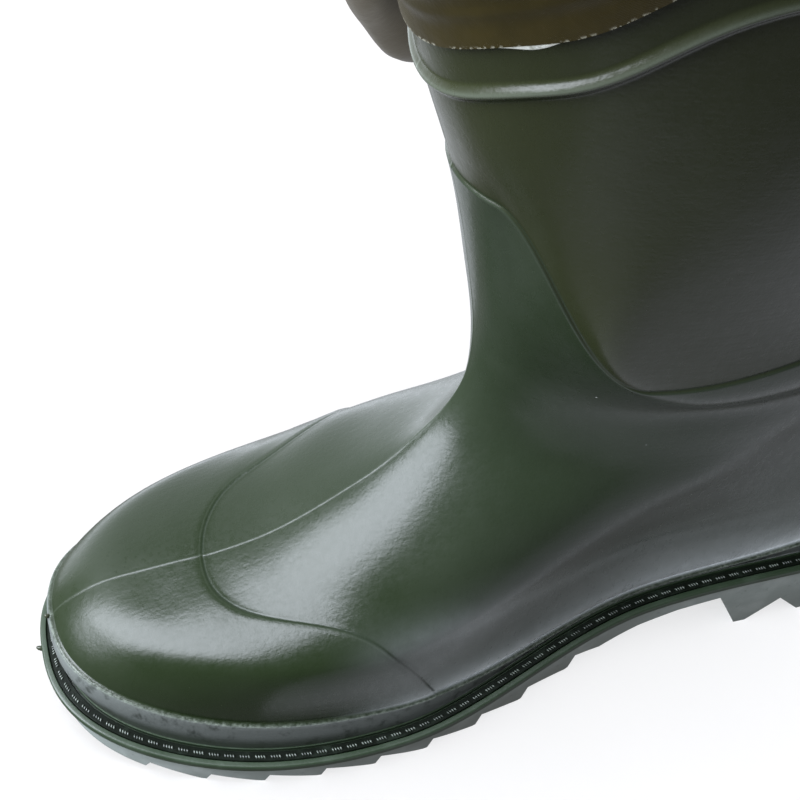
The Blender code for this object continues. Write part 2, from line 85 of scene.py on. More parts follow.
class Socket:
    """Output of a shader node that can be used in Python sums."""

    def __init__(self, graph: "Graph", socket: bpy.types.NodeSocket) -> None:
        """Wrap a node's output socket."""
        self.graph = graph
        self.socket = socket

    def sum(self, operation: str, *values: "Value") -> "Socket":
        """Join values with a Math node, or a Vector Math node where this socket is a vector.

        Args:
            operation: the node's operation.
            values: sockets or numbers, in the node's order.

        Returns:
            The node's result.
        """
        kind = "ShaderNodeVectorMath" if self.socket.type == "VECTOR" else "ShaderNodeMath"
        return self.graph.add(kind, {"operation": operation}, dict(enumerate(values)))

    def __add__(self, other: "Value") -> "Socket":
        """Sum."""
        return self.sum("ADD", self, other)

    def __radd__(self, other: "Value") -> "Socket":
        """Sum with the socket on the right."""
        return self.sum("ADD", other, self)

    def __sub__(self, other: "Value") -> "Socket":
        """Difference."""
        return self.sum("SUBTRACT", self, other)

    def __rsub__(self, other: "Value") -> "Socket":
        """Difference with the socket on the right."""
        return self.sum("SUBTRACT", other, self)

    def __mul__(self, other: "Value") -> "Socket":
        """Product."""
        return self.sum("MULTIPLY", self, other)

    def __rmul__(self, other: "Value") -> "Socket":
        """Product with the socket on the right."""
        return self.sum("MULTIPLY", other, self)

    def __truediv__(self, other: "Value") -> "Socket":
        """Quotient."""
        return self.sum("DIVIDE", self, other)

    def __rtruediv__(self, other: "Value") -> "Socket":
        """Quotient with the socket on the right."""
        return self.sum("DIVIDE", other, self)

    def exp(self) -> "Socket":
        """Exponential."""
        return self.sum("EXPONENT", self)

    def sine(self) -> "Socket":
        """Sine of an angle in radians."""
        return self.sum("SINE", self)

    def rise(self, low: float, high: float) -> "Socket":
        """Smooth step from 0 to 1, which falls where low is the larger.

        Args:
            low: the value that gives 0.
            high: the value that gives 1.

        Returns:
            The step.
        """
        spread = {"From Min": min(low, high), "From Max": max(low, high)}
        ends = {"To Min": 0.0, "To Max": 1.0} if low < high else {"To Min": 1.0, "To Max": 0.0}
        settings = {"interpolation_type": "SMOOTHSTEP"}
        return self.graph.add("ShaderNodeMapRange", settings, {"Value": self, **spread, **ends})

    def bell(self, centre: float, width: float) -> "Socket":
        """Soft bump of height 1 about a centre."""
        part = (self - centre) / width
        return (part * part * -1.0).exp()


Value = Union[Socket, float, Sequence[float]]


class Graph:
    """Node tree of one material, or of the world."""

    def __init__(self, name: str, store: Any = bpy.data.materials) -> None:
        """Start an empty tree.

        Args:
            name: name of the new item.
            store: Blender's list that the item goes into.
        """
        self.owner = store.new(name)
        self.owner.use_nodes = True
        self.tree = self.owner.node_tree
        self.tree.nodes.clear()

    def add(self, kind: str, settings: Mapping[str, Any], sockets: Mapping[Any, Value],
            output: Union[int, str] = 0) -> Socket:
        """Add a node.

        Args:
            kind: the node's type.
            settings: its own settings, set before its sockets.
            sockets: a value or a link for each input, by name or number.
            output: the output that is wanted.

        Returns:
            That output.
        """
        node = self.tree.nodes.new(kind)
        for name, value in settings.items():
            setattr(node, name, value)
        for name, value in sockets.items():
            if isinstance(value, Socket):
                self.tree.links.new(value.socket, node.inputs[name])
            else:
                node.inputs[name].default_value = value
        return Socket(self, node.outputs[output])

    def attribute(self, name: str) -> Socket:
        """Number kept on the mesh under a name."""
        return self.add("ShaderNodeAttribute", {"attribute_name": name}, {}, "Fac")

    def place(self) -> Socket:
        """Place on the object, in metres."""
        return self.add("ShaderNodeTexCoord", {}, {}, "Object")

    def cloth_place(self) -> Socket:
        """Place on the flat cloth, in metres."""
        return self.add("ShaderNodeTexCoord", {}, {}, "UV")

    def part(self, vector: Socket, axis: str) -> Socket:
        """One component of a vector."""
        return self.add("ShaderNodeSeparateXYZ", {}, {0: vector}, axis)

    def noise(self, size: float, detail: float = 2.0, stretch: Sequence[float] = (1.0, 1.0, 1.0),
              roughness: float = 0.5) -> Socket:
        """Cloudy noise.

        Args:
            size: size of a cloud in millimetres.
            detail: number of finer layers.
            stretch: how many times longer a cloud is along each axis.
            roughness: share of the finer layers.

        Returns:
            Noise between 0 and 1.
        """
        at = self.place() * tuple(1.0 / share for share in stretch)
        sockets = {"Vector": at, "Scale": 1.0 / (size * MM), "Detail": detail, "Roughness": roughness}
        return self.add("ShaderNodeTexNoise", {}, sockets, 0)

    def specks(self, spacing: float, radius: float, share: float) -> Socket:
        """Scattered round specks.

        Args:
            spacing: distance between neighbours in millimetres.
            radius: radius of a speck in millimetres.
            share: share of the places that have one.

        Returns:
            1 inside a speck and 0 outside.
        """
        sockets = {"Vector": self.place(), "Scale": 1.0 / (spacing * MM)}
        distance = self.add("ShaderNodeTexVoronoi", {}, sockets, "Distance")
        pick = self.add("ShaderNodeTexVoronoi", {}, sockets, "Color")
        size = self.part(pick, "Y") * 0.7 + 0.3
        spot = (distance * spacing / (size * radius)).rise(1.0, 0.6)
        return spot * self.part(pick, "X").rise(1.0 - share, 1.0 - share + 0.01)

    def blend(self, low: Union[Socket, Colour], high: Union[Socket, Colour], share: Value) -> Socket:
        """Mix of two colours."""
        low, high = (item if isinstance(item, Socket) else (*item, 1.0) for item in (low, high))
        return self.add("ShaderNodeMix", {"data_type": "RGBA"}, {0: share, 6: low, 7: high}, 2)

    def bump(self, height: Socket) -> Socket:
        """Normal of a relief whose height is in millimetres."""
        sockets = {"Height": height * MM, "Strength": 1.0, "Distance": 1.0}
        return self.add("ShaderNodeBump", {}, sockets, "Normal")

    def surface(self, **sockets: Value) -> Material:
        """Finish the tree with a Principled shader, whose sockets have underscores for spaces.

        Args:
            sockets: a value or a link for each socket that isn't left as it is.

        Returns:
            The material.
        """
        named = {name.replace("_", " "): value for name, value in sockets.items()}
        shader = self.add("ShaderNodeBsdfPrincipled", {}, named)
        self.add_output("ShaderNodeOutputMaterial", shader)
        return self.owner

    def add_output(self, kind: str, shader: Socket) -> None:
        """Link a shader to an output node."""
        output = self.tree.nodes.new(kind)
        self.tree.links.new(shader.socket, output.inputs["Surface"])


@dataclass(frozen=True)
class MouldedUpper:
    """Satin PVC of the upper: green foot, browner shaft, a rand painted greyer as a reflection of the floor,
    pale seam and rand bead, and painted highlights on the rims of the steps and the rib's crest.

    Painted shade darkens the grooves beside the steps and the rand's foot, and a painted reflection of the
    floor pales the lower sides. Sizes and heights of the relief are millimetres; the painted reflection
    fades out between two places along the boot, in metres.
    """

    foot: Colour = (0.0036, 0.0064, 0.0020)
    foot_pale: Colour = (0.0058, 0.0088, 0.0040)
    shaft: Colour = (0.0047, 0.0060, 0.0009)
    # Painted reflection: the rand is greyer than the foot to stand in for the floor's reflection in it.
    rand: Colour = (0.043, 0.048, 0.045)
    smudge: Colour = (0.008, 0.010, 0.008)
    # Pale of the seam and the rand's bead, and colour of the painted highlights on the step rims and the
    # rib's crest.
    edge: Colour = (0.080, 0.092, 0.076)
    # Painted shade in the grooves beside the steps and towards the rand's foot.
    groove: Colour = (0.006, 0.009, 0.005)
    dust: Colour = (0.30, 0.31, 0.30)
    # Painted reflection of the floor low on the sides, fading out towards the toe between two places.
    painted_floor_reflection: Colour = (0.32, 0.34, 0.345)
    painted_reflection_front: tuple[float, float] = (0.075, 0.020)
    gloss: float = 0.285
    rand_gloss: float = 0.45
    shine: float = 0.13
    cloud_size: float = 38.0
    cloud_gloss: float = 0.10
    mottle_size: float = 5.0
    crinkle_size: float = 1.3
    crinkle_height: float = 0.06
    crest_height: float = 0.25
    grain_size: float = 0.9
    grain_height: float = 0.03
    fleck_size: float = 1.7
    fleck_height: float = 0.035
    fleck_gloss: float = 0.16
    streak_size: float = 1.4
    streak_height: float = 0.03
    streak_length: float = 9.0
    wave_size: float = 11.0
    wave_height: float = 0.10
    dip_depth: float = 0.07
    # Weights of the painted highlight on the step rims, the pale seam and the painted highlight on the rib's
    # crest.
    rim_highlight: float = 0.12
    seam_pale: float = 0.18
    rib_highlight: float = 0.3

    def material(self) -> Material:
        """Build the material from the distances kept on the upper's mesh.

        Returns:
            The material.
        """
        graph = Graph("moulded_upper")
        cap, panel, rand, seam = (graph.attribute(name) for name in ("cap", "panel", "rand", "seam"))
        on_rand = rand.rise(0.1, -0.5)
        clouds = graph.noise(self.cloud_size, 3.0)
        crinkle = graph.noise(self.crinkle_size, 3.0, roughness=0.65)
        crest = rand.bell(-0.4, 0.7)
        seam_line = seam.bell(0.0, 0.26)
        rib_highlight_line = graph.attribute("rib").bell(0.3, 0.8)
        # Masks of the painted highlight on the rims of the raised steps and of the painted shade in the
        # grooves beside them.
        rim = cap.bell(0.45, 0.3) * panel.rise(0.0, -2.0) * rand.rise(0.5, 2.0) + panel.bell(-0.45, 0.35)
        dip = cap.bell(-0.45, 0.38) * rand.rise(0.0, 1.5) + panel.bell(0.5, 0.35)

        colour = graph.blend(self.foot, self.foot_pale, clouds.rise(0.35, 0.75))
        colour = graph.blend(colour, self.shaft, panel.rise(-0.2, 0.2))
        mottle = graph.noise(self.mottle_size, 4.0, (1.0, 1.0, 1.6), 0.7)
        # Rand colour: a grey painted reflection of the floor, with real smudges in random mottles.
        rand_colour = graph.blend(self.rand, self.smudge, mottle.rise(0.50, 0.72) * 0.8)
        # Painted shade, darker towards the rand's foot where it meets the lip's groove.
        rand_colour = graph.blend(rand_colour, self.groove, rand.rise(-6.0, -13.0) * 0.85)
        # Painted reflection of the floor, strongest just above the rand and fading out towards the toe.
        painted_reflection_mask = ((rand * -0.07).exp() * 0.25 + (rand * -0.18).exp() * 0.6) * rand.rise(0.0, 0.8)
        painted_floor_reflection = painted_reflection_mask * graph.part(graph.place(), "X").rise(*self.painted_reflection_front) * (mottle * 0.5 + 0.7)
        colour = graph.blend(colour, self.painted_floor_reflection, painted_floor_reflection)
        colour = graph.blend(colour, rand_colour, on_rand)
        # Painted shade in the grooves beside the steps.
        colour = graph.blend(colour, self.groove, dip * 0.8)
        # Painted highlights on the step rims and the rib's crest, with the pale seam and rand bead.
        pale = rim * self.rim_highlight + seam_line * self.seam_pale + rib_highlight_line * self.rib_highlight
        pale = pale + crest * (crinkle.rise(0.3, 0.7) * 0.5 + 0.1)
        colour = graph.blend(colour, self.edge, pale.rise(0.0, 1.0))
        colour = graph.blend(colour, self.dust, graph.specks(16.0, 0.35, 0.35))

        grain = graph.noise(self.grain_size, 3.0)
        flecks = graph.noise(self.fleck_size, 3.0, (1.0, 1.0, 2.0), 0.6)
        streaks = graph.noise(self.streak_size, 2.0, (self.streak_length, 1.0, 1.0))
        waves = graph.noise(self.wave_size, 2.0, roughness=0.4)
        height = grain * self.grain_height + flecks * self.fleck_height + streaks * self.streak_height
        height = height + waves * self.wave_height - dip * self.dip_depth
        height = height + on_rand * crinkle * self.crinkle_height + crest * crinkle * self.crest_height
        roughness = self.gloss + (clouds - 0.5) * self.cloud_gloss + (flecks - 0.5) * self.fleck_gloss
        roughness = roughness + on_rand * (self.rand_gloss - self.gloss)
        return graph.surface(Base_Color=colour, Roughness=roughness, Normal=graph.bump(height),
                             Specular_IOR_Level=self.shine)


@dataclass(frozen=True)
class SoleRubber:
    """Matt rubber of the outsole, greyer and dustier than the upper."""

    body: Colour = (0.080, 0.094, 0.086)
    pale: Colour = (0.115, 0.130, 0.122)
    smudge: Colour = (0.013, 0.017, 0.013)
    dust: Colour = (0.4, 0.42, 0.4)
    gloss: float = 0.52
    cloud_size: float = 14.0
    cloud_gloss: float = 0.12
    smudge_size: float = 3.0
    grain_size: float = 0.8
    grain_height: float = 0.03
    wave_size: float = 4.0
    wave_height: float = 0.06

    def material(self) -> Material:
        """Build the material.

        Returns:
            The material.
        """
        graph = Graph("sole_rubber")
        clouds = graph.noise(self.cloud_size, 4.0, roughness=0.6)
        grain = graph.noise(self.grain_size, 3.0)
        colour = graph.blend(self.body, self.pale, clouds.rise(0.45, 0.75))
        smudges = graph.noise(self.smudge_size, 4.0, roughness=0.7).rise(0.60, 0.74)
        colour = graph.blend(colour, self.smudge, smudges * 0.6)
        colour = graph.blend(colour, self.dust, graph.specks(7.0, 0.3, 0.25))
        height = grain * self.grain_height + graph.noise(self.wave_size, 2.0) * self.wave_height
        roughness = self.gloss + clouds * self.cloud_gloss
        return graph.surface(Base_Color=colour, Roughness=roughness, Normal=graph.bump(height))


@dataclass(frozen=True)
class SoleLip:
    """Glossier green rubber of the sole's lip."""

    body: Colour = (0.0065, 0.012, 0.0055)
    worn: Colour = (0.012, 0.019, 0.011)
    dust: Colour = (0.2, 0.22, 0.2)
    gloss: float = 0.33
    shine: float = 0.2
    cloud_size: float = 9.0
    cloud_gloss: float = 0.2
    grain_size: float = 1.2
    grain_height: float = 0.05

    def material(self) -> Material:
        """Build the material.

        Returns:
            The material.
        """
        graph = Graph("sole_lip")
        clouds = graph.noise(self.cloud_size, 4.0, roughness=0.6)
        colour = graph.blend(self.body, self.worn, clouds.rise(0.5, 0.75) * 0.7)
        colour = graph.blend(colour, self.dust, graph.specks(6.0, 0.25, 0.2))
        height = graph.noise(self.grain_size, 3.0) * self.grain_height
        roughness = clouds * self.cloud_gloss + self.gloss
        return graph.surface(Base_Color=colour, Roughness=roughness, Normal=graph.bump(height),
                             Specular_IOR_Level=self.shine)


@dataclass(frozen=True)
class WeltStrip:
    """Near-black strip in the lip's groove."""

    body: Colour = (0.0014, 0.0022, 0.0013)
    worn: Colour = (0.006, 0.009, 0.006)
    gloss: float = 0.35
    shine: float = 0.05
    cloud_size: float = 7.0
    cloud_gloss: float = 0.2
    grain_size: float = 1.0
    grain_height: float = 0.06

    def material(self) -> Material:
        """Build the material.

        Returns:
            The material.
        """
        graph = Graph("welt_strip")
        clouds = graph.noise(self.cloud_size, 4.0, roughness=0.65)
        colour = graph.blend(self.body, self.worn, clouds.rise(0.5, 0.8))
        height = graph.noise(self.grain_size, 3.0) * self.grain_height
        roughness = clouds * self.cloud_gloss + self.gloss
        return graph.surface(Base_Color=colour, Roughness=roughness, Normal=graph.bump(height),
                             Specular_IOR_Level=self.shine)


@dataclass(frozen=True)
class StitchThread:
    """Pale green-grey thread of the moulded-in stitches."""

    body: Colour = (0.028, 0.035, 0.027)
    dirt: Colour = (0.006, 0.009, 0.006)
    gloss: float = 0.45
    dirt_size: float = 6.0
    fibre_size: float = 0.4
    fibre_height: float = 0.05

    def material(self) -> Material:
        """Build the material.

        Returns:
            The material.
        """
        graph = Graph("stitch_thread")
        dirt = graph.noise(self.dirt_size, 3.0).rise(0.42, 0.62)
        colour = graph.blend(self.body, self.dirt, dirt)
        height = graph.noise(self.fibre_size, 2.0) * self.fibre_height
        return graph.surface(Base_Color=colour, Roughness=self.gloss, Normal=graph.bump(height))


@dataclass(frozen=True)
class CoatedCloth:
    """Coated olive-brown woven cloth of the leg, fine weave under its coating; painted light greys it up
    from the band.
    """

    body: Colour = (0.0042, 0.0034, 0.0006)
    pale: Colour = (0.0080, 0.0062, 0.0013)
    # Painted light: the cloth turns this grey up from the band, standing in for the light on the hanging
    # fold.
    grey: Colour = (0.032, 0.0295, 0.0245)
    glue: Colour = (0.16, 0.16, 0.13)
    gleam: tuple[float, float, float, float] = (1.0, 0.80, 0.42, 1.0)
    thread_pitch: float = 0.55
    gloss: float = 0.48
    shine: float = 0.16
    grey_rise: tuple[float, float] = (14.0, 50.0)
    grey_share: float = 0.75
    cloud_size: float = 30.0
    cloud_gloss: float = 0.15
    spot_size: float = 1.1
    weave_pale: float = 0.06
    weave_height: float = 0.012
    dent_size: float = 6.0
    dent_height: float = 0.25
    grain_size: float = 1.2
    grain_height: float = 0.04

    def material(self) -> Material:
        """Build the material from the flat cloth's places and the height above the band's edge.

        Returns:
            The material.
        """
        graph = Graph("coated_cloth")
        at = graph.cloth_place()
        turn = 2 * math.pi / (self.thread_pitch * MM)
        warp, weft = ((graph.part(at, axis) * turn).sine() for axis in "XY")
        weave = warp * weft
        rise = graph.attribute("band")
        clouds = graph.noise(self.cloud_size, 4.0, roughness=0.6)
        colour = graph.blend(self.body, self.pale, clouds.rise(0.4, 0.75) + weave * self.weave_pale)
        # Painted light: greyer up from the band, standing in for the light on the hanging fold.
        colour = graph.blend(colour, self.grey, rise.rise(*self.grey_rise) * self.grey_share)
        spots = graph.noise(self.spot_size, 2.0).rise(0.5, 0.62)
        colour = graph.blend(colour, self.glue, rise.bell(0.1, 0.35) * spots * 0.35)
        colour = graph.blend(colour, self.glue, graph.specks(12.0, 0.3, 0.3) * 0.7)
        height = weave * self.weave_height + graph.noise(self.dent_size, 3.0) * self.dent_height
        height = height + graph.noise(self.grain_size, 2.0) * self.grain_height
        roughness = self.gloss + (clouds - 0.5) * self.cloud_gloss
        return graph.surface(Base_Color=colour, Roughness=roughness, Normal=graph.bump(height),
                             Specular_IOR_Level=self.shine, Specular_Tint=self.gleam)


@dataclass(frozen=True)
class DriedGlue:
    """Milky dried glue below the band."""

    body: Colour = (0.46, 0.48, 0.45)
    dirt: Colour = (0.12, 0.13, 0.09)
    gloss: float = 0.4
    clot_size: float = 2.0
    clot_height: float = 0.25

    def material(self) -> Material:
        """Build the material.

        Returns:
            The material.
        """
        graph = Graph("dried_glue")
        clots = graph.noise(self.clot_size, 3.0, roughness=0.6)
        colour = graph.blend(self.body, self.dirt, clots.rise(0.5, 0.7) * 0.7)
        normal = graph.bump(clots * self.clot_height)
        return graph.surface(Base_Color=colour, Roughness=self.gloss, Normal=normal)


@dataclass(frozen=True)
class NeedleFelt:
    """Grey-brown felt of the insole."""

    body: Colour = (0.13, 0.12, 0.10)
    pale: Colour = (0.22, 0.21, 0.18)
    gloss: float = 0.92
    sheen: float = 0.3
    fibre_size: float = 0.5
    fibre_length: float = 6.0
    fibre_height: float = 0.2

    def material(self) -> Material:
        """Build the material.

        Returns:
            The material.
        """
        graph = Graph("needle_felt")
        along_boot = graph.noise(self.fibre_size, 3.0, (self.fibre_length, 1.0, 1.0))
        fibres = along_boot + graph.noise(self.fibre_size, 3.0, (1.0, self.fibre_length, 1.0))
        colour = graph.blend(self.body, self.pale, (fibres * 0.5).rise(0.35, 0.65))
        normal = graph.bump(fibres * self.fibre_height)
        return graph.surface(Base_Color=colour, Roughness=self.gloss, Normal=normal, Sheen_Weight=self.sheen)


@dataclass(frozen=True)
class StudioFloor:
    """Plain pale floor."""

    body: Colour = (0.86, 0.86, 0.87)
    shade: Colour = (0.82, 0.82, 0.83)
    gloss: float = 0.8
    cloud_size: float = 90.0

    def material(self) -> Material:
        """Build the material.

        Returns:
            The material.
        """
        graph = Graph("studio_floor")
        colour = graph.blend(self.body, self.shade, graph.noise(self.cloud_size, 2.0))
        return graph.surface(Base_Color=colour, Roughness=self.gloss)


def spline(knots: Array, values: Array, at: Array) -> Array:
    """Natural cubic curves, one for each column of the knots.

    Args:
        knots: places of the values, in rows and columns.
        values: what is read, with one more axis than the knots.
        at: places to read, in rows and the same columns.

    Returns:
        The values at those places.
    """
    rows, columns = knots.shape
    step = np.diff(knots, axis=0)
    slope = np.diff(values, axis=0) / step[..., None]
    system = np.tile(np.eye(rows), (columns, 1, 1))
    load = np.zeros((columns, rows, values.shape[2]))
    for i in range(1, rows - 1):
        system[:, i, i - 1:i + 2] = np.stack([step[i - 1], 2 * (step[i - 1] + step[i]), step[i]], -1)
        load[:, i] = 6 * (slope[i] - slope[i - 1])
    bend = np.swapaxes(np.linalg.solve(system, load), 0, 1)
    place = np.zeros(at.shape, int)
    for row in knots[1:-1]:
        place += at >= row
    column = np.arange(columns)[None]
    width = step[place, column][..., None]
    right = (at - knots[place, column])[..., None] / width
    left = 1 - right
    chord = left * values[place, column] + right * values[place + 1, column]
    bow = (left ** 3 - left) * bend[place, column] + (right ** 3 - right) * bend[place + 1, column]
    return chord + bow * width ** 2 / 6


def along(table: Sequence[Sequence[float]], x: Array, column: int = 1) -> Array:
    """Read a column of a table as a smooth curve over its first column.

    Args:
        table: rows with the place first.
        x: places to read, held to the table's ends.
        column: number of the column that is read.

    Returns:
        The values at those places.
    """
    rows = np.array(table, float)
    at = np.clip(np.asarray(x, float), rows[0, 0], rows[-1, 0])
    values = rows[:, column].reshape(-1, 1, 1)
    return spline(rows[:, :1], values, at.reshape(-1, 1)).reshape(at.shape)


def ease(value: Array, low: float = 0.0, high: float = 1.0) -> Array:
    """Smooth step from 0 at low to 1 at high."""
    part = np.clip((value - low) / (high - low), 0.0, 1.0)
    return part * part * (3 - 2 * part)


def ramp(angle: Array, start: float, end: float) -> Array:
    """Cosine ramp from 0 to 1 between two angles in degrees."""
    part = np.clip((np.degrees(np.abs(angle)) - start) / (end - start), 0.0, 1.0)
    return 0.5 - 0.5 * np.cos(np.pi * part)


def rounded(run: Array, length: float, power: float) -> Array:
    """Share of the full width at a distance from a rounded end."""
    part = np.clip(run / length, 0.0, 1.0)
    return (1 - (1 - part) ** power) ** (1 / power)


def wrap(angle: Array) -> Array:
    """Angle brought to the range from minus pi to pi."""
    return (angle + np.pi) % (2 * np.pi) - np.pi


def bell(value: Array, centre: float, width: float) -> Array:
    """Soft bump of height 1 about a centre."""
    return np.exp(-((value - centre) / width) ** 2)


def unit(vectors: Array) -> Array:
    """Vectors of length 1."""
    return vectors / np.maximum(np.linalg.norm(vectors, axis=-1, keepdims=True), 1e-12)


def outward(run: Array) -> Array:
    """Unit normals of a course from its runs, seen from above."""
    return unit(np.stack([run[:, 1], -run[:, 0], np.zeros(len(run))], -1))


class Outline(NamedTuple):
    """Half widths of one side of the lip and where they lie along the boot."""

    ball_x: float
    ball: float
    waist_x: float
    waist: float
    heel_x: float
    heel: float
    toe_power: float
    heel_power: float

    def width(self, x: Array, ball: float, waist: float, heel: float) -> Array:
        """Half width along the foot without its rounded ends.

        Args:
            x: places along the boot.
            ball: half width at the ball.
            waist: half width at the waist.
            heel: half width at the heel.

        Returns:
            The half widths.
        """
        front = waist + (ball - waist) * ease(x, self.waist_x, self.ball_x)
        back = heel + (waist - heel) * ease(x, self.heel_x, self.waist_x)
        return np.where(x > self.waist_x, front, back)


@dataclass(frozen=True)
class LipLine:
    """Edge of the sole's lip, from which every piece of the boot is measured."""

    length: float = 297.5
    left: Outline = Outline(200.0, 50.6, 115.0, 37.5, 52.0, 39.6, 2.5, 2.3)
    right: Outline = Outline(212.0, 52.0, 132.0, 33.6, 52.0, 39.0, 2.28, 2.3)
    swing: Sequence[Sequence[float]] = ((0, 0), (60, 0), (120, 0.4), (170, 2.0), (205, 2.9), (240, 1.5),
                                        (270, -1.4), (297.5, -3.0))
    seat: Sequence[Sequence[float]] = ((0, 31.0), (35, 30.6), (75, 30.3), (110, 28.0), (150, 21.3),
                                       (190, 14.6), (230, 13.4), (265, 16.0), (297.5, 22.5))
    angle_step: float = 0.004

    def by_side(self, angle: Array, half: Callable[[Outline, Side], Array]) -> Array:
        """Signed half width from a function of each side's outline."""
        return np.where(np.sin(angle) >= 0, half(self.left, Side.LEFT), -half(self.right, Side.RIGHT))

    def half(self, x: Array, outline: Outline) -> Array:
        """Half width of the lip on one side.

        Args:
            x: places along the boot.
            outline: that side's outline.

        Returns:
            The half widths.
        """
        base = outline.width(x, outline.ball, outline.waist, outline.heel)
        toe = rounded(self.length - x, self.length - outline.ball_x, outline.toe_power)
        return base * toe * rounded(x, outline.heel_x, outline.heel_power)

    def edge(self, angle: Array) -> Array:
        """Closed course along the lip's edge, at the height of its top face.

        Args:
            angle: angles round the boot.

        Returns:
            The course's points.
        """
        x = self.length * (1 + np.cos(angle)) / 2
        y = along(self.swing, x) + self.by_side(angle, lambda outline, side: self.half(x, outline))
        return np.stack([x, y, along(self.seat, x)], -1)

    def inset(self, angle: Array, inset: Union[float, Array], drop: float = 0.0) -> Array:
        """Course inside the lip's edge.

        Args:
            angle: angles round the boot.
            inset: distance inside the edge, for the whole course or for each point.
            drop: distance below the lip's top face.

        Returns:
            The course's points.
        """
        run = self.edge(angle + self.angle_step) - self.edge(angle - self.angle_step)
        course = self.edge(angle) - outward(run) * np.reshape(inset, (-1, 1))
        course[:, 2] -= drop
        return course


class Foot(NamedTuple):
    """A course round the foot; the insets say how far the wall lies inside the lip line."""

    front_x: float
    front_z: float
    back_x: float
    back_z: float
    ball_in: float
    waist_in: float
    heel_in: float
    toe_len: float
    toe_power: float
    right_fuller: float


class Shaft(NamedTuple):
    """A course round the shaft, which changes height between the angles hold and reach, and dips."""

    front_x: float
    front_z: float
    side_z: float
    back_x: float
    back_z: float
    half: float
    hold: float
    reach: float
    dip: float


class Row(NamedTuple):
    """Place of a row on the skin: between two levels, then some millimetres further up."""

    low: int
    high: int
    share: float
    beyond: float


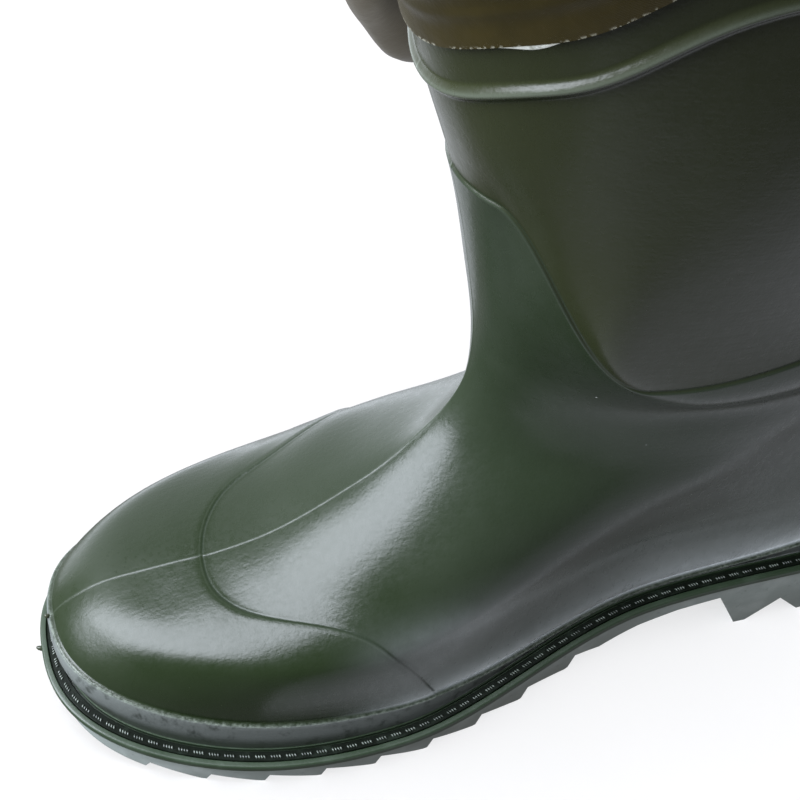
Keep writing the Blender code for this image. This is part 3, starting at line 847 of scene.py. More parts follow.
@dataclass(frozen=True)
class UpperForm:
    """The upper's outer face below its steps: a smooth skin through all the levels.

    Levels count from 0 at the feather edge: 1 is the rand's top edge, then come the foot
    levels and the shaft levels.
    """

    lip: LipLine
    rand: Sequence[Sequence[float]] = (
        (0, 11.0, 0.4), (40, 9.0, 0.4), (65, 4.5, 0.4), (82, 2.2, 0.4), (105, 1.4, 0.4), (140, 1.6, 0.4),
        (166, 4.0, 0.4), (186, 8.3, 0.4), (205, 11.2, 0.4), (237, 13.5, 0.4), (265, 14.6, 0.4),
        (281, 14.9, 0.7), (297.5, 15.0, 2.6))
    feather_inset: float = 8.8
    foot: Sequence[Foot] = (
        Foot(284.5, 44.0, 7.8, 47.0, 8.0, 8.2, 7.8, 82, 2.1, 0.1),
        Foot(276.5, 49.2, 7.2, 50.5, 8.2, 8.0, 7.4, 79, 2.1, 0.1),
        Foot(266.5, 52.0, 6.8, 54.0, 8.4, 7.6, 7.1, 77, 2.05, 0.12),
        Foot(255.0, 54.2, 6.5, 58.0, 8.6, 7.2, 6.9, 76, 2.05, 0.2),
        Foot(242.0, 56.8, 6.5, 62.5, 8.8, 6.6, 6.8, 76, 2.1, 0.46),
        Foot(228.0, 61.0, 7.0, 68.0, 9.0, 6.0, 6.8, 76, 2.1, 0.7),
        Foot(215.0, 67.6, 8.4, 75.0, 9.4, 5.2, 7.0, 77, 2.05, 0.7),
        Foot(202.0, 76.0, 10.8, 83.0, 10.0, 4.2, 7.4, 79, 1.95, 0.1),
        Foot(189.0, 85.6, 13.6, 92.5, 10.6, 2.8, 7.6, 82, 1.8, -0.25),
        Foot(178.4, 96.0, 16.6, 103.0, 10.8, 1.2, 7.0, 84, 1.65, -0.4),
        Foot(171.8, 108.0, 19.4, 114.0, 10.4, -0.6, 5.6, 84, 1.65, -0.4),
        Foot(168.6, 122.0, 22.0, 126.0, 10.0, -2.4, 3.6, 80, 1.8, -0.25))
    shaft: Sequence[Shaft] = (
        Shaft(170.6, 150.0, 129.0, 25.0, 136.0, 42.0, 14, 74, 0.0),
        Shaft(177.8, 186.5, 137.0, 27.0, 147.0, 43.0, 21, 63.5, 0.0),
        Shaft(181.8, 200.0, 191.0, 37.0, 198.0, 47.5, 8, 75, 1.0),
        Shaft(186.0, 214.0, 252.0, 47.0, 252.0, 53.0, 0, 82, 4.3),
        Shaft(191.0, 235.0, 274.0, 52.0, 274.0, 55.0, 0, 84, 3.4))
    panel_row: int = 1
    rib_row: int = 3
    back_power: float = 2.2
    back_len: float = 48.0
    back_turn: float = 60.0
    dip_turn: float = 47.0
    dip_spread: float = 14.0
    normal_step: float = 0.05

    @property
    def rand_level(self) -> int:
        """Level of the rand's top edge."""
        return 1

    @property
    def panel_level(self) -> int:
        """Level of the foot panel's top edge."""
        return 2 + len(self.foot) + self.panel_row

    @property
    def rib_level(self) -> int:
        """Level of the rib round the shaft."""
        return 2 + len(self.foot) + self.rib_row

    @property
    def collar_level(self) -> int:
        """Level of the upper's top edge."""
        return 1 + len(self.foot) + len(self.shaft)

    def foot_course(self, level: Foot, angle: Array) -> Array:
        """Course round the foot at one foot level.

        Args:
            level: the foot level.
            angle: angles round the boot.

        Returns:
            The course's points.
        """
        front = (1 + np.cos(angle)) / 2
        x = level.back_x + (level.front_x - level.back_x) * front
        z = level.back_z + (level.front_z - level.back_z) * front

        def half(outline: Outline, side: Side) -> Array:
            """Half width of this course on one side.

            Args:
                outline: that side's outline.
                side: the side.

            Returns:
                The half widths.
            """
            base = outline.width(x, outline.ball - level.ball_in, outline.waist - level.waist_in,
                                 outline.heel - level.heel_in)
            power = level.toe_power + (level.right_fuller if side is Side.RIGHT else 0.0)
            toe = rounded(level.front_x - x, level.toe_len, power)
            return base * toe * rounded(x - level.back_x, self.back_len, self.back_power)

        return np.stack([x, along(self.lip.swing, x) + self.lip.by_side(angle, half), z], -1)

    def shaft_course(self, level: Shaft, angle: Array) -> Array:
        """Course round the shaft at one shaft level.

        Args:
            level: the shaft level.
            angle: angles round the boot.

        Returns:
            The course's points.
        """
        x = level.back_x + (level.front_x - level.back_x) * (1 + np.cos(angle)) / 2
        turn = wrap(angle)
        z = level.front_z + (level.side_z - level.front_z) * ramp(turn, level.hold, level.reach)
        z = z + (level.back_z - level.side_z) * ramp(turn, level.reach, level.reach + self.back_turn)
        z = z - level.dip * bell(np.degrees(np.abs(turn)), self.dip_turn, self.dip_spread)
        return np.stack([x, along(self.lip.swing, x) + level.half * np.sin(angle), z], -1)

    def courses(self, angle: Array) -> Array:
        """Every level's course.

        Args:
            angle: angles round the boot.

        Returns:
            The points, a row for each level.
        """
        feather = self.lip.inset(angle, self.feather_inset)
        rand = self.lip.inset(angle, self.feather_inset - along(self.rand, feather[:, 0], 2))
        rand[:, 2] += along(self.rand, rand[:, 0])
        rows = [feather, rand]
        rows += [self.foot_course(level, angle) for level in self.foot]
        rows += [self.shaft_course(level, angle) for level in self.shaft]
        return np.array(rows)

    def skin(self, angle: Array, rows: Sequence[Row]) -> tuple[Array, Array, Array]:
        """Points of the skin in rows.

        Args:
            angle: angles round the boot.
            rows: places of the rows.

        Returns:
            The points, the run up the skin at each of them, and the run at every level.
        """
        courses = self.courses(angle)
        gaps = np.linalg.norm(np.diff(courses, axis=0), axis=2)
        knots = np.concatenate([np.zeros((1, len(angle))), np.cumsum(gaps, axis=0)])
        low, high, share, beyond = (np.array(item) for item in zip(*rows))
        run = knots[low] * (1 - share)[:, None] + knots[high] * share[:, None] + beyond[:, None]
        return spline(knots, courses, run), run, knots

    def course(self, angle: Array, level: int, beyond: float = 0.0, out: float = 0.0) -> Array:
        """Course at a level, or beside it.

        Args:
            angle: angles round the boot.
            level: the level.
            beyond: distance up the skin from it.
            out: distance along the skin's normal.

        Returns:
            The course's points.
        """
        steps = (-self.normal_step, 0.0, self.normal_step)
        rows = [Row(level, level, 0.0, beyond + step) for step in steps]
        points = self.skin(angle, rows)[0]
        turns = (-self.lip.angle_step, self.lip.angle_step)
        side = [self.skin(angle + turn, rows[1:2])[0][0] for turn in turns]
        return points[1] + unit(np.cross(side[1] - side[0], points[2] - points[0])) * out


def grid_normals(points: Array) -> Array:
    """Unit normals of rows of points that are closed round the boot."""
    round_run = np.roll(points, -1, axis=1) - np.roll(points, 1, axis=1)
    return unit(np.cross(round_run, np.gradient(points, axis=0)))


def true_distance(points: Array, value: Array) -> Array:
    """Distance on the surface from where a value is 0.

    Args:
        points: rows of points that are closed round the boot.
        value: a smooth value at each of them.

    Returns:
        The value over its slope on the surface, in the points' unit.
    """
    around = (np.roll(points, -1, axis=1) - np.roll(points, 1, axis=1)) / 2
    up = np.gradient(points, axis=0)
    slope_around = (np.roll(value, -1, axis=1) - np.roll(value, 1, axis=1)) / 2
    slope_up = np.gradient(value, axis=0)
    a, b, c = ((first * second).sum(-1) for first, second in ((around, around), (around, up), (up, up)))
    square = c * slope_around ** 2 - 2 * b * slope_around * slope_up + a * slope_up ** 2
    return value / np.sqrt(np.maximum(square / np.maximum(a * c - b * b, 1e-9), 1e-4))


def in_row_frame(points: Array) -> Array:
    """Boot points in millimetres, brought to the row frame in metres."""
    return (np.asarray(points, float) - FRAME_MIDDLE) * MM


def new_object(name: str, points: Array, faces: Sequence[Sequence[int]]) -> Object:
    """Add a mesh object to the scene.

    Args:
        name: name of the object and its mesh.
        points: boot points in millimetres.
        faces: numbers of each face's points.

    Returns:
        The object.
    """
    mesh = bpy.data.meshes.new(name)
    mesh.from_pydata(in_row_frame(points).tolist(), [], faces)
    item = bpy.data.objects.new(name, mesh)
    bpy.context.scene.collection.objects.link(item)
    return item


def grid_faces(rows: int, columns: int, ring: bool) -> list[list[int]]:
    """Faces between rows that are closed round the boot.

    Args:
        rows: number of rows.
        columns: points in a row.
        ring: whether the last row joins the first.

    Returns:
        Numbers of each face's points.
    """
    index = np.arange(rows * columns).reshape(rows, columns)
    low = index if ring else index[:-1]
    high = np.roll(index, -1, axis=0) if ring else index[1:]
    corners = (low, np.roll(low, -1, axis=1), np.roll(high, -1, axis=1), high)
    return np.stack(corners, -1).reshape(-1, 4).tolist()


def keep_field(item: Object, name: str, values: Array) -> None:
    """Keep a number for each vertex of a mesh under a name."""
    kept = item.data.attributes.new(name, "FLOAT", "POINT")
    kept.data.foreach_set("value", values.astype(np.float32).ravel())


def lay_flat(item: Object, around: Array, up: Array) -> None:
    """Give a grid mesh the places of its flat cloth, in metres.

    Args:
        item: a mesh of rows that are closed round the boot.
        around: run round the cloth at each column and at the closing one.
        up: run up the cloth at each row.
    """
    columns, rows = len(around) - 1, len(up)
    row, column = np.divmod(np.arange((rows - 1) * columns), columns)
    u = np.stack([around[column], around[column + 1], around[column + 1], around[column]], -1)
    v = np.stack([up[row], up[row], up[row + 1], up[row + 1]], -1)
    flat = np.stack([u, v], -1) * MM
    item.data.uv_layers.new(name="flat").data.foreach_set("uv", flat.astype(np.float32).ravel())


def dress(item: Object, material: Material, sharp: float = 35.0) -> Object:
    """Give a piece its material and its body.

    Args:
        item: the piece.
        material: its material.
        sharp: angle in degrees from which an edge is sharp.

    Returns:
        The piece.
    """
    item.data.materials.append(material)
    item.data.shade_smooth()
    item.data.set_sharp_from_angle(angle=math.radians(sharp))
    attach(item, Body.ROOT.value)
    return item


def closed_tube(path: Array, radius: Array, sides: int, first: int) -> tuple[list[Array], list[list[int]]]:
    """Rounded tube along a short path.

    Args:
        path: points of the path.
        radius: radius at each of them.
        sides: sides of the tube.
        first: number of its first vertex.

    Returns:
        Its points and faces.
    """
    run = unit(np.gradient(path, axis=0))
    side = unit(np.cross(run, (0.0, 0.0, 1.0)))
    up = np.cross(side, run)
    turn = np.arange(sides) * 2 * np.pi / sides
    ring = np.cos(turn)[None, :, None] * side[:, None] + np.sin(turn)[None, :, None] * up[:, None]
    points = path[:, None] + ring * radius[:, None, None]
    faces = [[first + corner for corner in face] for face in grid_faces(len(path), sides, ring=False)]
    last = first + (len(path) - 1) * sides
    faces += [[first + i for i in reversed(range(sides))], [last + i for i in range(sides)]]
    return list(points.reshape(-1, 3)), faces


class Crowd(NamedTuple):
    """Extra columns about an angle in degrees from the toe."""

    gain: float
    turn: float
    spread: float


class Crease(NamedTuple):
    """Soft trough on the upper between two places, or a ridge where its depth is negative."""

    start: tuple[float, float, float]
    end: tuple[float, float, float]
    width: float
    depth: float


@dataclass
class Upper:
    """One hollow PVC moulding: rand, toe cap, foot panel, shaft and rib.

    A slope gives the distances from an edge between which its step rises.
    """

    form: UpperForm
    finish: MouldedUpper = MouldedUpper()
    wall: float = 2.3
    panel_step: float = 0.65
    panel_slope: tuple[float, float] = (-0.5, 0.5)
    cap_step: float = 0.55
    cap_slope: tuple[float, float] = (-1.2, 1.2)
    rand_step: float = 1.7
    rand_slope: tuple[float, float] = (-0.3, 0.6)
    rib_height: float = 1.5
    rib_half: float = 2.5
    ridge: float = 0.08
    ridge_half: float = 0.34
    ridge_end: tuple[float, float] = (-1.0, -2.5)
    rand_inset: float = 6.2
    cap_axis_z: float = 20.0
    sharp: float = 50.0
    reach: float = 50.0
    cap_left: Sequence[Sequence[float]] = (
        (0, 246.0), (18.6, 245.5), (27.6, 242.0), (34, 236.0), (38.5, 228.0), (43, 217.0), (47, 209.5),
        (53, 203.0), (63, 196.5), (77, 191.0), (96, 185.0))
    cap_right: Sequence[Sequence[float]] = (
        (0, 246.0), (8.3, 244.6), (16.7, 242.0), (23.4, 238.2), (27.6, 233.6), (29.8, 227.6), (31.2, 219.0),
        (32.3, 210.0), (33.5, 202.0), (35.5, 195.5), (41, 190.5), (55, 187.5), (75, 185.5), (96, 183.5))
    columns: int = 330
    fine_steps: int = 4001
    crowds: Sequence[Crowd] = (Crowd(1.1, 58, 22), Crowd(0.3, 0, 14))
    beside_seam: Sequence[float] = (0.0, 0.13, 0.26, 0.42, 0.62, 0.9)
    seam_clear: float = 1.3
    rand_shares: Sequence[float] = (0.0, 0.12, 0.26, 0.42, 0.58, 0.72, 0.84)
    rand_rises: Sequence[float] = (-0.2, -0.07, 0.07, 0.25, 0.5, 0.8, 1.3)
    panel_rises: Sequence[float] = (-2.0, -1.2, -0.7, -0.4, -0.13, 0.13, 0.4, 0.7, 1.3)
    rib_reach: float = 3.6
    rib_rows: int = 19
    foot_rows: int = 148
    shaft_rows: int = 40
    collar_rows: int = 12
    inner_shares: Sequence[float] = (1.0, 0.75, 0.5, 0.25, 0.12)
    creases: Sequence[Crease] = (
        Crease((264, 4, 56), (258, 9, 56), 9.0, 0.5),
        Crease((246, 4, 57), (238, 20, 57), 7.0, 0.35),
        Crease((196, 6, 82), (186, 26, 78), 9.0, 0.5),
        Crease((184, 4, 94), (170, 30, 88), 8.0, -0.4),
        Crease((172, 8, 112), (160, 32, 100), 10.0, 0.7),
        Crease((172, -8, 112), (158, -32, 100), 10.0, 0.7),
        Crease((200, -10, 76), (190, -28, 70), 9.0, 0.4),
        Crease((168, 14, 132), (140, 40, 122), 10.0, 0.2),
        Crease((60, 36, 130), (100, 40, 118), 14.0, 0.15),
        Crease((60, -36, 130), (100, -40, 118), 14.0, 0.3),
        Crease((30, 12, 150), (30, -12, 150), 12.0, 0.6),
    )

    def angles(self) -> Array:
        """Angles of the columns: closer at the cap's edge, the toe and beside the parting line.

        Returns:
            The angles, from the toe round the left side.
        """
        fine = np.linspace(-np.pi, np.pi, self.fine_steps)
        turn = np.degrees(np.abs(fine))
        weight = np.ones(self.fine_steps)
        for crowd in self.crowds:
            weight = weight + crowd.gain * bell(turn, crowd.turn, crowd.spread)
        run = np.concatenate([[0.0], np.cumsum((weight[1:] + weight[:-1]) / 2)])
        even = np.interp(np.arange(self.columns) / self.columns * run[-1], run, fine)
        beside = np.radians(self.beside_seam)
        close = np.concatenate([beside, -beside[1:]])
        keep = np.abs(np.sin(even)) > np.sin(np.radians(self.seam_clear))
        return np.sort(np.concatenate([even[keep], close, wrap(close + np.pi)]) % (2 * np.pi))

    def rows(self) -> list[Row]:
        """Rows up the outside, close together at every step.

        Returns:
            The rows' places, from the feather edge to the collar.
        """
        form = self.form
        rand, panel, rib, collar = form.rand_level, form.panel_level, form.rib_level, form.collar_level
        rows = [Row(0, rand, share, 0.0) for share in self.rand_shares]
        rows += [Row(rand, rand, 0.0, rise) for rise in self.rand_rises]
        rows += self.between(rand, 1.9, panel, -2.0, self.foot_rows)
        rows += [Row(panel, panel, 0.0, rise) for rise in self.panel_rises]
        rows += self.between(panel, 2.0, rib, -4.0, self.shaft_rows)
        rib_rises = np.linspace(-self.rib_reach, self.rib_reach, self.rib_rows)
        rows += [Row(rib, rib, 0.0, rise) for rise in rib_rises]
        rows += self.between(rib, 4.0, collar, 0.0, self.collar_rows)
        return rows + [Row(collar, collar, 0.0, 0.0)]

    @staticmethod
    def between(low: int, start: float, high: int, end: float, count: int) -> list[Row]:
        """Even rows from some millimetres above one level to some above another, without the last."""
        shares = np.arange(count) / count
        return [Row(low, high, share, start * (1 - share) + end * share) for share in shares]

    def fields(self, points: Array, run: Array, knots: Array) -> dict[str, Array]:
        """Distances from the moulding's edges.

        Args:
            points: rows of points on the skin.
            run: run up the skin at each of them.
            knots: run at every level.

        Returns:
            Millimetres by the edge's name, positive up the boot or to the toe.
        """
        form = self.form
        levels = {"rand": form.rand_level, "panel": form.panel_level, "rib": form.rib_level}
        fields = {name: true_distance(points, run - knots[level]) for name, level in levels.items()}
        x, y, z = np.moveaxis(points, -1, 0)
        lean = np.degrees(np.arctan2(np.abs(y), z - self.cap_axis_z))
        edge = np.where(y >= 0, along(self.cap_left, lean), along(self.cap_right, lean))
        fields["cap"] = true_distance(points, x - edge)
        steps = np.linalg.norm(np.roll(points, -1, axis=1) - points, axis=2)
        ahead = np.concatenate([np.zeros((len(points), 1)), np.cumsum(steps, axis=1)], axis=1)
        total = ahead[:, -1:]
        front, back = ahead[:, :-1], ahead[:, [points.shape[1] // 2]]
        fields["seam"] = np.minimum(np.minimum(front, total - front), np.abs(front - back))
        return fields

    def relief(self, points: Array, fields: Mapping[str, Array]) -> Array:
        """Height of the steps, rib, parting line and creases over the skin.

        Args:
            points: rows of points on the skin.
            fields: distances from the moulding's edges.

        Returns:
            Millimetres along the skin's normal at each point.
        """
        cap, panel, rand, rib, seam = (fields[name] for name in ("cap", "panel", "rand", "rib", "seam"))
        above_rand = ease(rand, *self.rand_slope)
        below_panel = 1 - ease(panel, *self.panel_slope)
        height = self.panel_step * below_panel + self.rand_step * (1 - above_rand)
        height += self.cap_step * ease(cap, *self.cap_slope) * above_rand
        height += self.ridge * bell(seam, 0.0, self.ridge_half) * ease(rib, *self.ridge_end)
        rib_turn = np.pi * np.clip(rib / self.rib_half, -1.0, 1.0)
        height += self.rib_height * (0.5 + 0.5 * np.cos(rib_turn))
        for crease in self.creases:
            height -= crease.depth * self.near(points, crease) * above_rand
        return height

    @staticmethod
    def near(points: Array, crease: Crease) -> Array:
        """Share of a crease's depth at each point.

        Args:
            points: the points.
            crease: the crease.

        Returns:
            Shares from 0 to 1.
        """
        start, end = np.array(crease.start), np.array(crease.end)
        run = end - start
        share = np.clip(((points - start) @ run) / (run @ run), 0.0, 1.0)
        distance = np.linalg.norm(points - start - share[..., None] * run, axis=-1)
        return bell(distance, 0.0, crease.width)

    def inside(self, angle: Array) -> Array:
        """Rows down the inside, a wall's thickness inside the skin.

        Args:
            angle: angles round the boot.

        Returns:
            Rows of points, from the collar to the feather edge.
        """
        collar, panel = self.form.collar_level, self.form.panel_level
        rows = [Row(panel, collar, share, 0.0) for share in self.inner_shares]
        rows += [Row(level, level, 0.0, 0.0) for level in range(panel, 0, -1)]
        points = self.form.skin(angle, rows)[0]
        inner = points + grid_normals(points) * self.wall
        foot = self.form.lip.inset(angle, self.form.feather_inset + self.wall)
        return np.concatenate([inner, foot[None]])

    def build(self) -> Object:
        """Build the moulding and dress it.

        Returns:
            The piece.
        """
        angle = self.angles()
        skin, run, knots = self.form.skin(angle, self.rows())
        fields = self.fields(skin, run, knots)
        outer = skin + grid_normals(skin) * self.relief(skin, fields)[..., None]
        outer[0] = self.form.lip.inset(angle, self.rand_inset)
        inner = self.inside(angle)
        points = np.concatenate([outer, inner])
        faces = grid_faces(len(points), len(angle), ring=True)
        upper = new_object("upper_moulding", points.reshape(-1, 3), faces)
        far = np.full(inner.shape[:2], self.reach)
        for name, values in fields.items():
            held = np.clip(values, -self.reach, self.reach)
            keep_field(upper, name, np.concatenate([held, far]))
        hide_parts("upper")
        return dress(upper, self.finish.material(), self.sharp)


class Lugs(NamedTuple):
    """A row of lugs seen from the side."""

    front_x: float
    pitch: float
    count: int
    land: float
    face_run: float


@dataclass
class Outsole:
    """Rubber outsole: lip, stepped side, welt groove and saw-tooth tread."""

    lip: LipLine
    rubber: SoleRubber = SoleRubber()
    lip_finish: SoleLip = SoleLip()
    lip_depth: float = 2.6
    lip_round: float = 0.75
    round_points: int = 5
    lip_under: Sequence[Sequence[float]] = ((0.3, 0.05), (0.05, -0.3))
    lip_margin: float = 0.2
    side_inset: float = 1.2
    side_drop: float = 0.6
    side_draft: float = 2.0
    groove_outer: float = 1.9
    groove_inner: float = 5.9
    groove_depth: float = 1.6
    groove_edge: float = 0.2
    gap: float = 0.3
    tread: Sequence[Sequence[float]] = (
        (89.5, 20.4), (104, 18.6), (117, 15.2), (130, 9.8), (147, 2.4), (160, 0.0), (262, 0.0), (272, 1.2),
        (285, 5.4), (302, 14.0))
    forefoot: Lugs = Lugs(274.4, 16.7, 9, 1.2, 1.6)
    heel: Lugs = Lugs(80.0, 22.8, 4, 4.0, 9.0)
    lug_step_front: float = 4.0
    lug_step_back: float = 7.2
    heel_lug_rise: float = 10.8
    beyond: float = 6.0
    cutter_depth: float = 18.0
    columns: int = 260
    sharp: float = 32.0

    def tread_line(self) -> list[tuple[float, float]]:
        """Underside of the sole seen from the side.

        Returns:
            Places along the boot and their heights, from heel to toe.
        """
        line = [(-self.beyond, self.heel_lug_rise)]
        for i in reversed(range(self.heel.count)):
            tip = self.heel.front_x - i * self.heel.pitch
            line.append((max(tip - self.heel.pitch + self.heel.face_run, -self.beyond), self.heel_lug_rise))
            line += [(tip - self.heel.land, 0.0), (tip, 0.0)]
        front = self.forefoot
        rear = front.front_x - (front.count - 1) * front.pitch - front.face_run
        line += [tuple(place) for place in self.tread if place[0] < rear]
        lugs_x, lugs_z = zip(*self.tread)
        for i in reversed(range(front.count)):
            tip = front.front_x - i * front.pitch
            low = float(np.interp(tip, lugs_x, lugs_z))
            step = self.lug_step_front + (self.lug_step_back - self.lug_step_front) * i / front.count
            line += [(tip - front.face_run, low + step), (tip, low)]
            line.append((tip + front.land, float(np.interp(tip + front.land, lugs_x, lugs_z))))
        return line + [tuple(place) for place in self.tread if place[0] > line[-1][0]]

    def cutter(self) -> Object:
        """Prism across the boot below the tread line.

        Returns:
            The prism, which is deleted after the cut.
        """
        line = self.tread_line()
        line += [(line[-1][0], -self.cutter_depth), (line[0][0], -self.cutter_depth)]
        count, half = len(line), self.lip.length / 2
        points = [(x, half, z) for x, z in line] + [(x, -half, z) for x, z in line]
        faces = [list(range(count)), list(range(2 * count - 1, count - 1, -1))]
        faces += [[i, count + i, count + (i + 1) % count, (i + 1) % count] for i in range(count)]
        return new_object("tread_cutter", np.array(points), faces)

    def courses(self, angle: Array) -> Array:
        """Courses from below the floor up the side, over the lip and into the groove.

        Args:
            angle: angles round the boot.

        Returns:
            Rows of points.
        """
        floor = self.lip.inset(angle, self.side_inset + self.side_draft)
        floor[:, 2] = -self.beyond
        places = [(self.side_inset, self.lip_depth + self.side_drop)]
        places += [(inset, self.lip_depth + lower) for inset, lower in self.lip_under]
        for turn in np.linspace(0, np.pi / 2, self.round_points):
            places.append((self.lip_round * (1 - math.cos(turn)), self.lip_round * (1 - math.sin(turn))))
        places += [(self.groove_outer - self.groove_edge, 0.0), (self.groove_outer, self.groove_edge),
                   (self.groove_outer, self.groove_depth), (self.groove_inner, self.groove_depth),
                   (self.groove_inner, self.gap)]
        return np.array([floor] + [self.lip.inset(angle, *place) for place in places])

    def build(self) -> Object:
        """Build the outsole, cut its tread and dress it.

        Returns:
            The piece.
        """
        angle = np.arange(self.columns) * 2 * np.pi / self.columns
        courses = self.courses(angle)
        faces = grid_faces(len(courses), self.columns, ring=False)
        last = (len(courses) - 1) * self.columns
        faces += [list(reversed(range(self.columns))), [last + i for i in range(self.columns)]]
        outsole = new_object("outsole_rubber", courses.reshape(-1, 3), faces)
        cutter = self.cutter()
        cut = outsole.modifiers.new("tread", "BOOLEAN")
        cut.object, cut.operation, cut.solver = cutter, "DIFFERENCE", "EXACT"
        cut_sole = outsole.evaluated_get(bpy.context.evaluated_depsgraph_get())
        shaped = bpy.data.meshes.new_from_object(cut_sole)
        outsole.modifiers.clear()
        outsole.data = shaped
        bpy.data.objects.remove(cutter, do_unlink=True)
        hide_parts("outsole")
        dress(outsole, self.rubber.material(), self.sharp)
        self.paint_lip(outsole)
        return outsole

    def paint_lip(self, outsole: Object) -> None:
        """Give the faces of the lip and its groove the lip's own finish.

        Args:
            outsole: the piece.
        """
        outsole.data.materials.append(self.lip_finish.material())
        for face in outsole.data.polygons:
            x, z = face.center.x / MM + FRAME_MIDDLE[0], face.center.z / MM
            above = z - float(along(self.lip.seat, np.array([x]))[0]) + self.lip_depth + self.lip_margin
            face.material_index = 1 if above > 0 else 0


@dataclass
class Welt:
    """Strip in the lip's groove, with its moulded-in stitches."""

    lip: LipLine
    strip_finish: WeltStrip = WeltStrip()
    thread: StitchThread = StitchThread()
    outer: float = 2.2
    inner: float = 5.2
    top_drop: float = 0.1
    low_drop: float = 1.3
    chamfer: float = 0.2
    columns: int = 300
    line_steps: int = 2401
    pitch: float = 4.5
    strands: int = 4
    strand_step: float = 0.8
    strand_half: float = 0.55
    strand_radius: float = 0.26
    strand_slant: float = 0.5
    strand_shares: Sequence[float] = (-1.0, -0.8, -0.35, 0.35, 0.8, 1.0)
    strand_taper: Sequence[float] = (0.25, 0.7, 1.0, 1.0, 0.7, 0.25)
    strand_rise: float = 0.75
    strand_arch: float = 0.9
    strand_sides: int = 6
    strand_sharp: float = 60.0
    aim_step: float = 0.2
    stitch_inset: float = 3.5

    def build(self) -> Object:
        """Build the strip and dress it.

        Returns:
            The piece.
        """
        angle = np.arange(self.columns) * 2 * np.pi / self.columns
        shoulder = self.top_drop + self.chamfer
        corners = [(self.outer, self.low_drop), (self.outer, shoulder),
                   (self.outer + self.chamfer, self.top_drop), (self.inner - self.chamfer, self.top_drop),
                   (self.inner, shoulder), (self.inner, self.low_drop)]
        courses = np.array([self.lip.inset(angle, *corner) for corner in corners])
        faces = grid_faces(len(courses), self.columns, ring=True)
        strip = new_object("welt_strip", courses.reshape(-1, 3), faces)
        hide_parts("welt")
        return dress(strip, self.strip_finish.material())

    def stitch_line(self) -> tuple[Array, Array]:
        """Line that the stitches follow along the strip.

        Returns:
            Its points and the run along it.
        """
        angle = np.linspace(0.0, 2 * np.pi, self.line_steps)
        line = self.lip.inset(angle, self.stitch_inset, self.top_drop)
        run = np.concatenate([[0.0], np.cumsum(np.linalg.norm(np.diff(line, axis=0), axis=1))])
        return line, run

    def build_stitches(self) -> Object:
        """Build the stitches: short slanted strands in groups along the strip.

        Returns:
            The piece.
        """
        line, run = self.stitch_line()
        shares = np.array(self.strand_shares)
        radius = self.strand_radius * np.array(self.strand_taper)
        count = int(run[-1] // self.pitch)
        points: list[Array] = []
        faces: list[list[int]] = []
        for place in (np.arange(count) + 0.5) * run[-1] / count:
            for strand in range(self.strands):
                at = place + (strand - (self.strands - 1) / 2) * self.strand_step
                ends = [self.on_line(line, run, at + shift) for shift in (-self.aim_step, self.aim_step)]
                ahead = unit(ends[1] - ends[0])
                across = unit(np.cross(ahead, (0.0, 0.0, 1.0)))
                middle = (ends[0] + ends[1]) / 2
                reach = unit(across + ahead * self.strand_slant) * self.strand_half
                path = middle + shares[:, None] * reach
                path[:, 2] += self.strand_radius * (self.strand_rise - self.strand_arch * shares ** 2)
                new_points, new_faces = closed_tube(path, radius, self.strand_sides, len(points))
                points += new_points
                faces += new_faces
        stitches = new_object("welt_stitches", np.array(points), faces)
        return dress(stitches, self.thread.material(), self.strand_sharp)

    @staticmethod
    def on_line(line: Array, run: Array, at: float) -> Array:
        """Point on a line at a run."""
        return np.array([np.interp(at, run, line[:, axis]) for axis in range(3)])


@dataclass
class Insole:
    """Felt pad on the outsole's bed."""

    lip: LipLine
    finish: NeedleFelt = NeedleFelt()
    inset: float = 11.7
    thick: float = 4.0
    edge: float = 0.8
    edge_share: float = 0.3
    low_drop: float = 0.05
    rim: float = 5.0
    columns: int = 160

    def build(self) -> Object:
        """Build the pad with rounded edges and dress it.

        Returns:
            The piece.
        """
        angle = np.arange(self.columns) * 2 * np.pi / self.columns
        cut = self.edge * self.edge_share
        places = [(self.inset, self.low_drop), (self.inset, -self.thick + self.edge),
                  (self.inset + cut, -self.thick + cut), (self.inset + self.edge, -self.thick),
                  (self.inset + self.rim, -self.thick)]
        courses = np.array([self.lip.inset(angle, *place) for place in places])
        faces = grid_faces(len(courses), self.columns, ring=False)
        for start, turn in ((0, -1), ((len(courses) - 1) * self.columns, 1)):
            for i in range(self.columns // 2):
                corners = (i, i + 1, (-i - 1) % self.columns, -i % self.columns)
                faces.append([start + corner for corner in list(dict.fromkeys(corners))[::turn]])
        pad = new_object("insole_felt", courses.reshape(-1, 3), faces)
        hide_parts("insole")
        return dress(pad, self.finish.material())


class LegRow(NamedTuple):
    """A course of the slack cloth above the collar, and of the fold that hangs from it."""

    rise: float
    out: float
    fold_out: float
    fold_drop: float


class Wave(NamedTuple):
    """Small waves of the slack cloth: how many round the leg, their climb, phase and height."""

    turns: int
    climb: float
    phase: float
    size: float


class Smear(NamedTuple):
    """Wider place in the glue line about an angle in degrees from the toe."""

    width: float
    turn: float
    spread: float


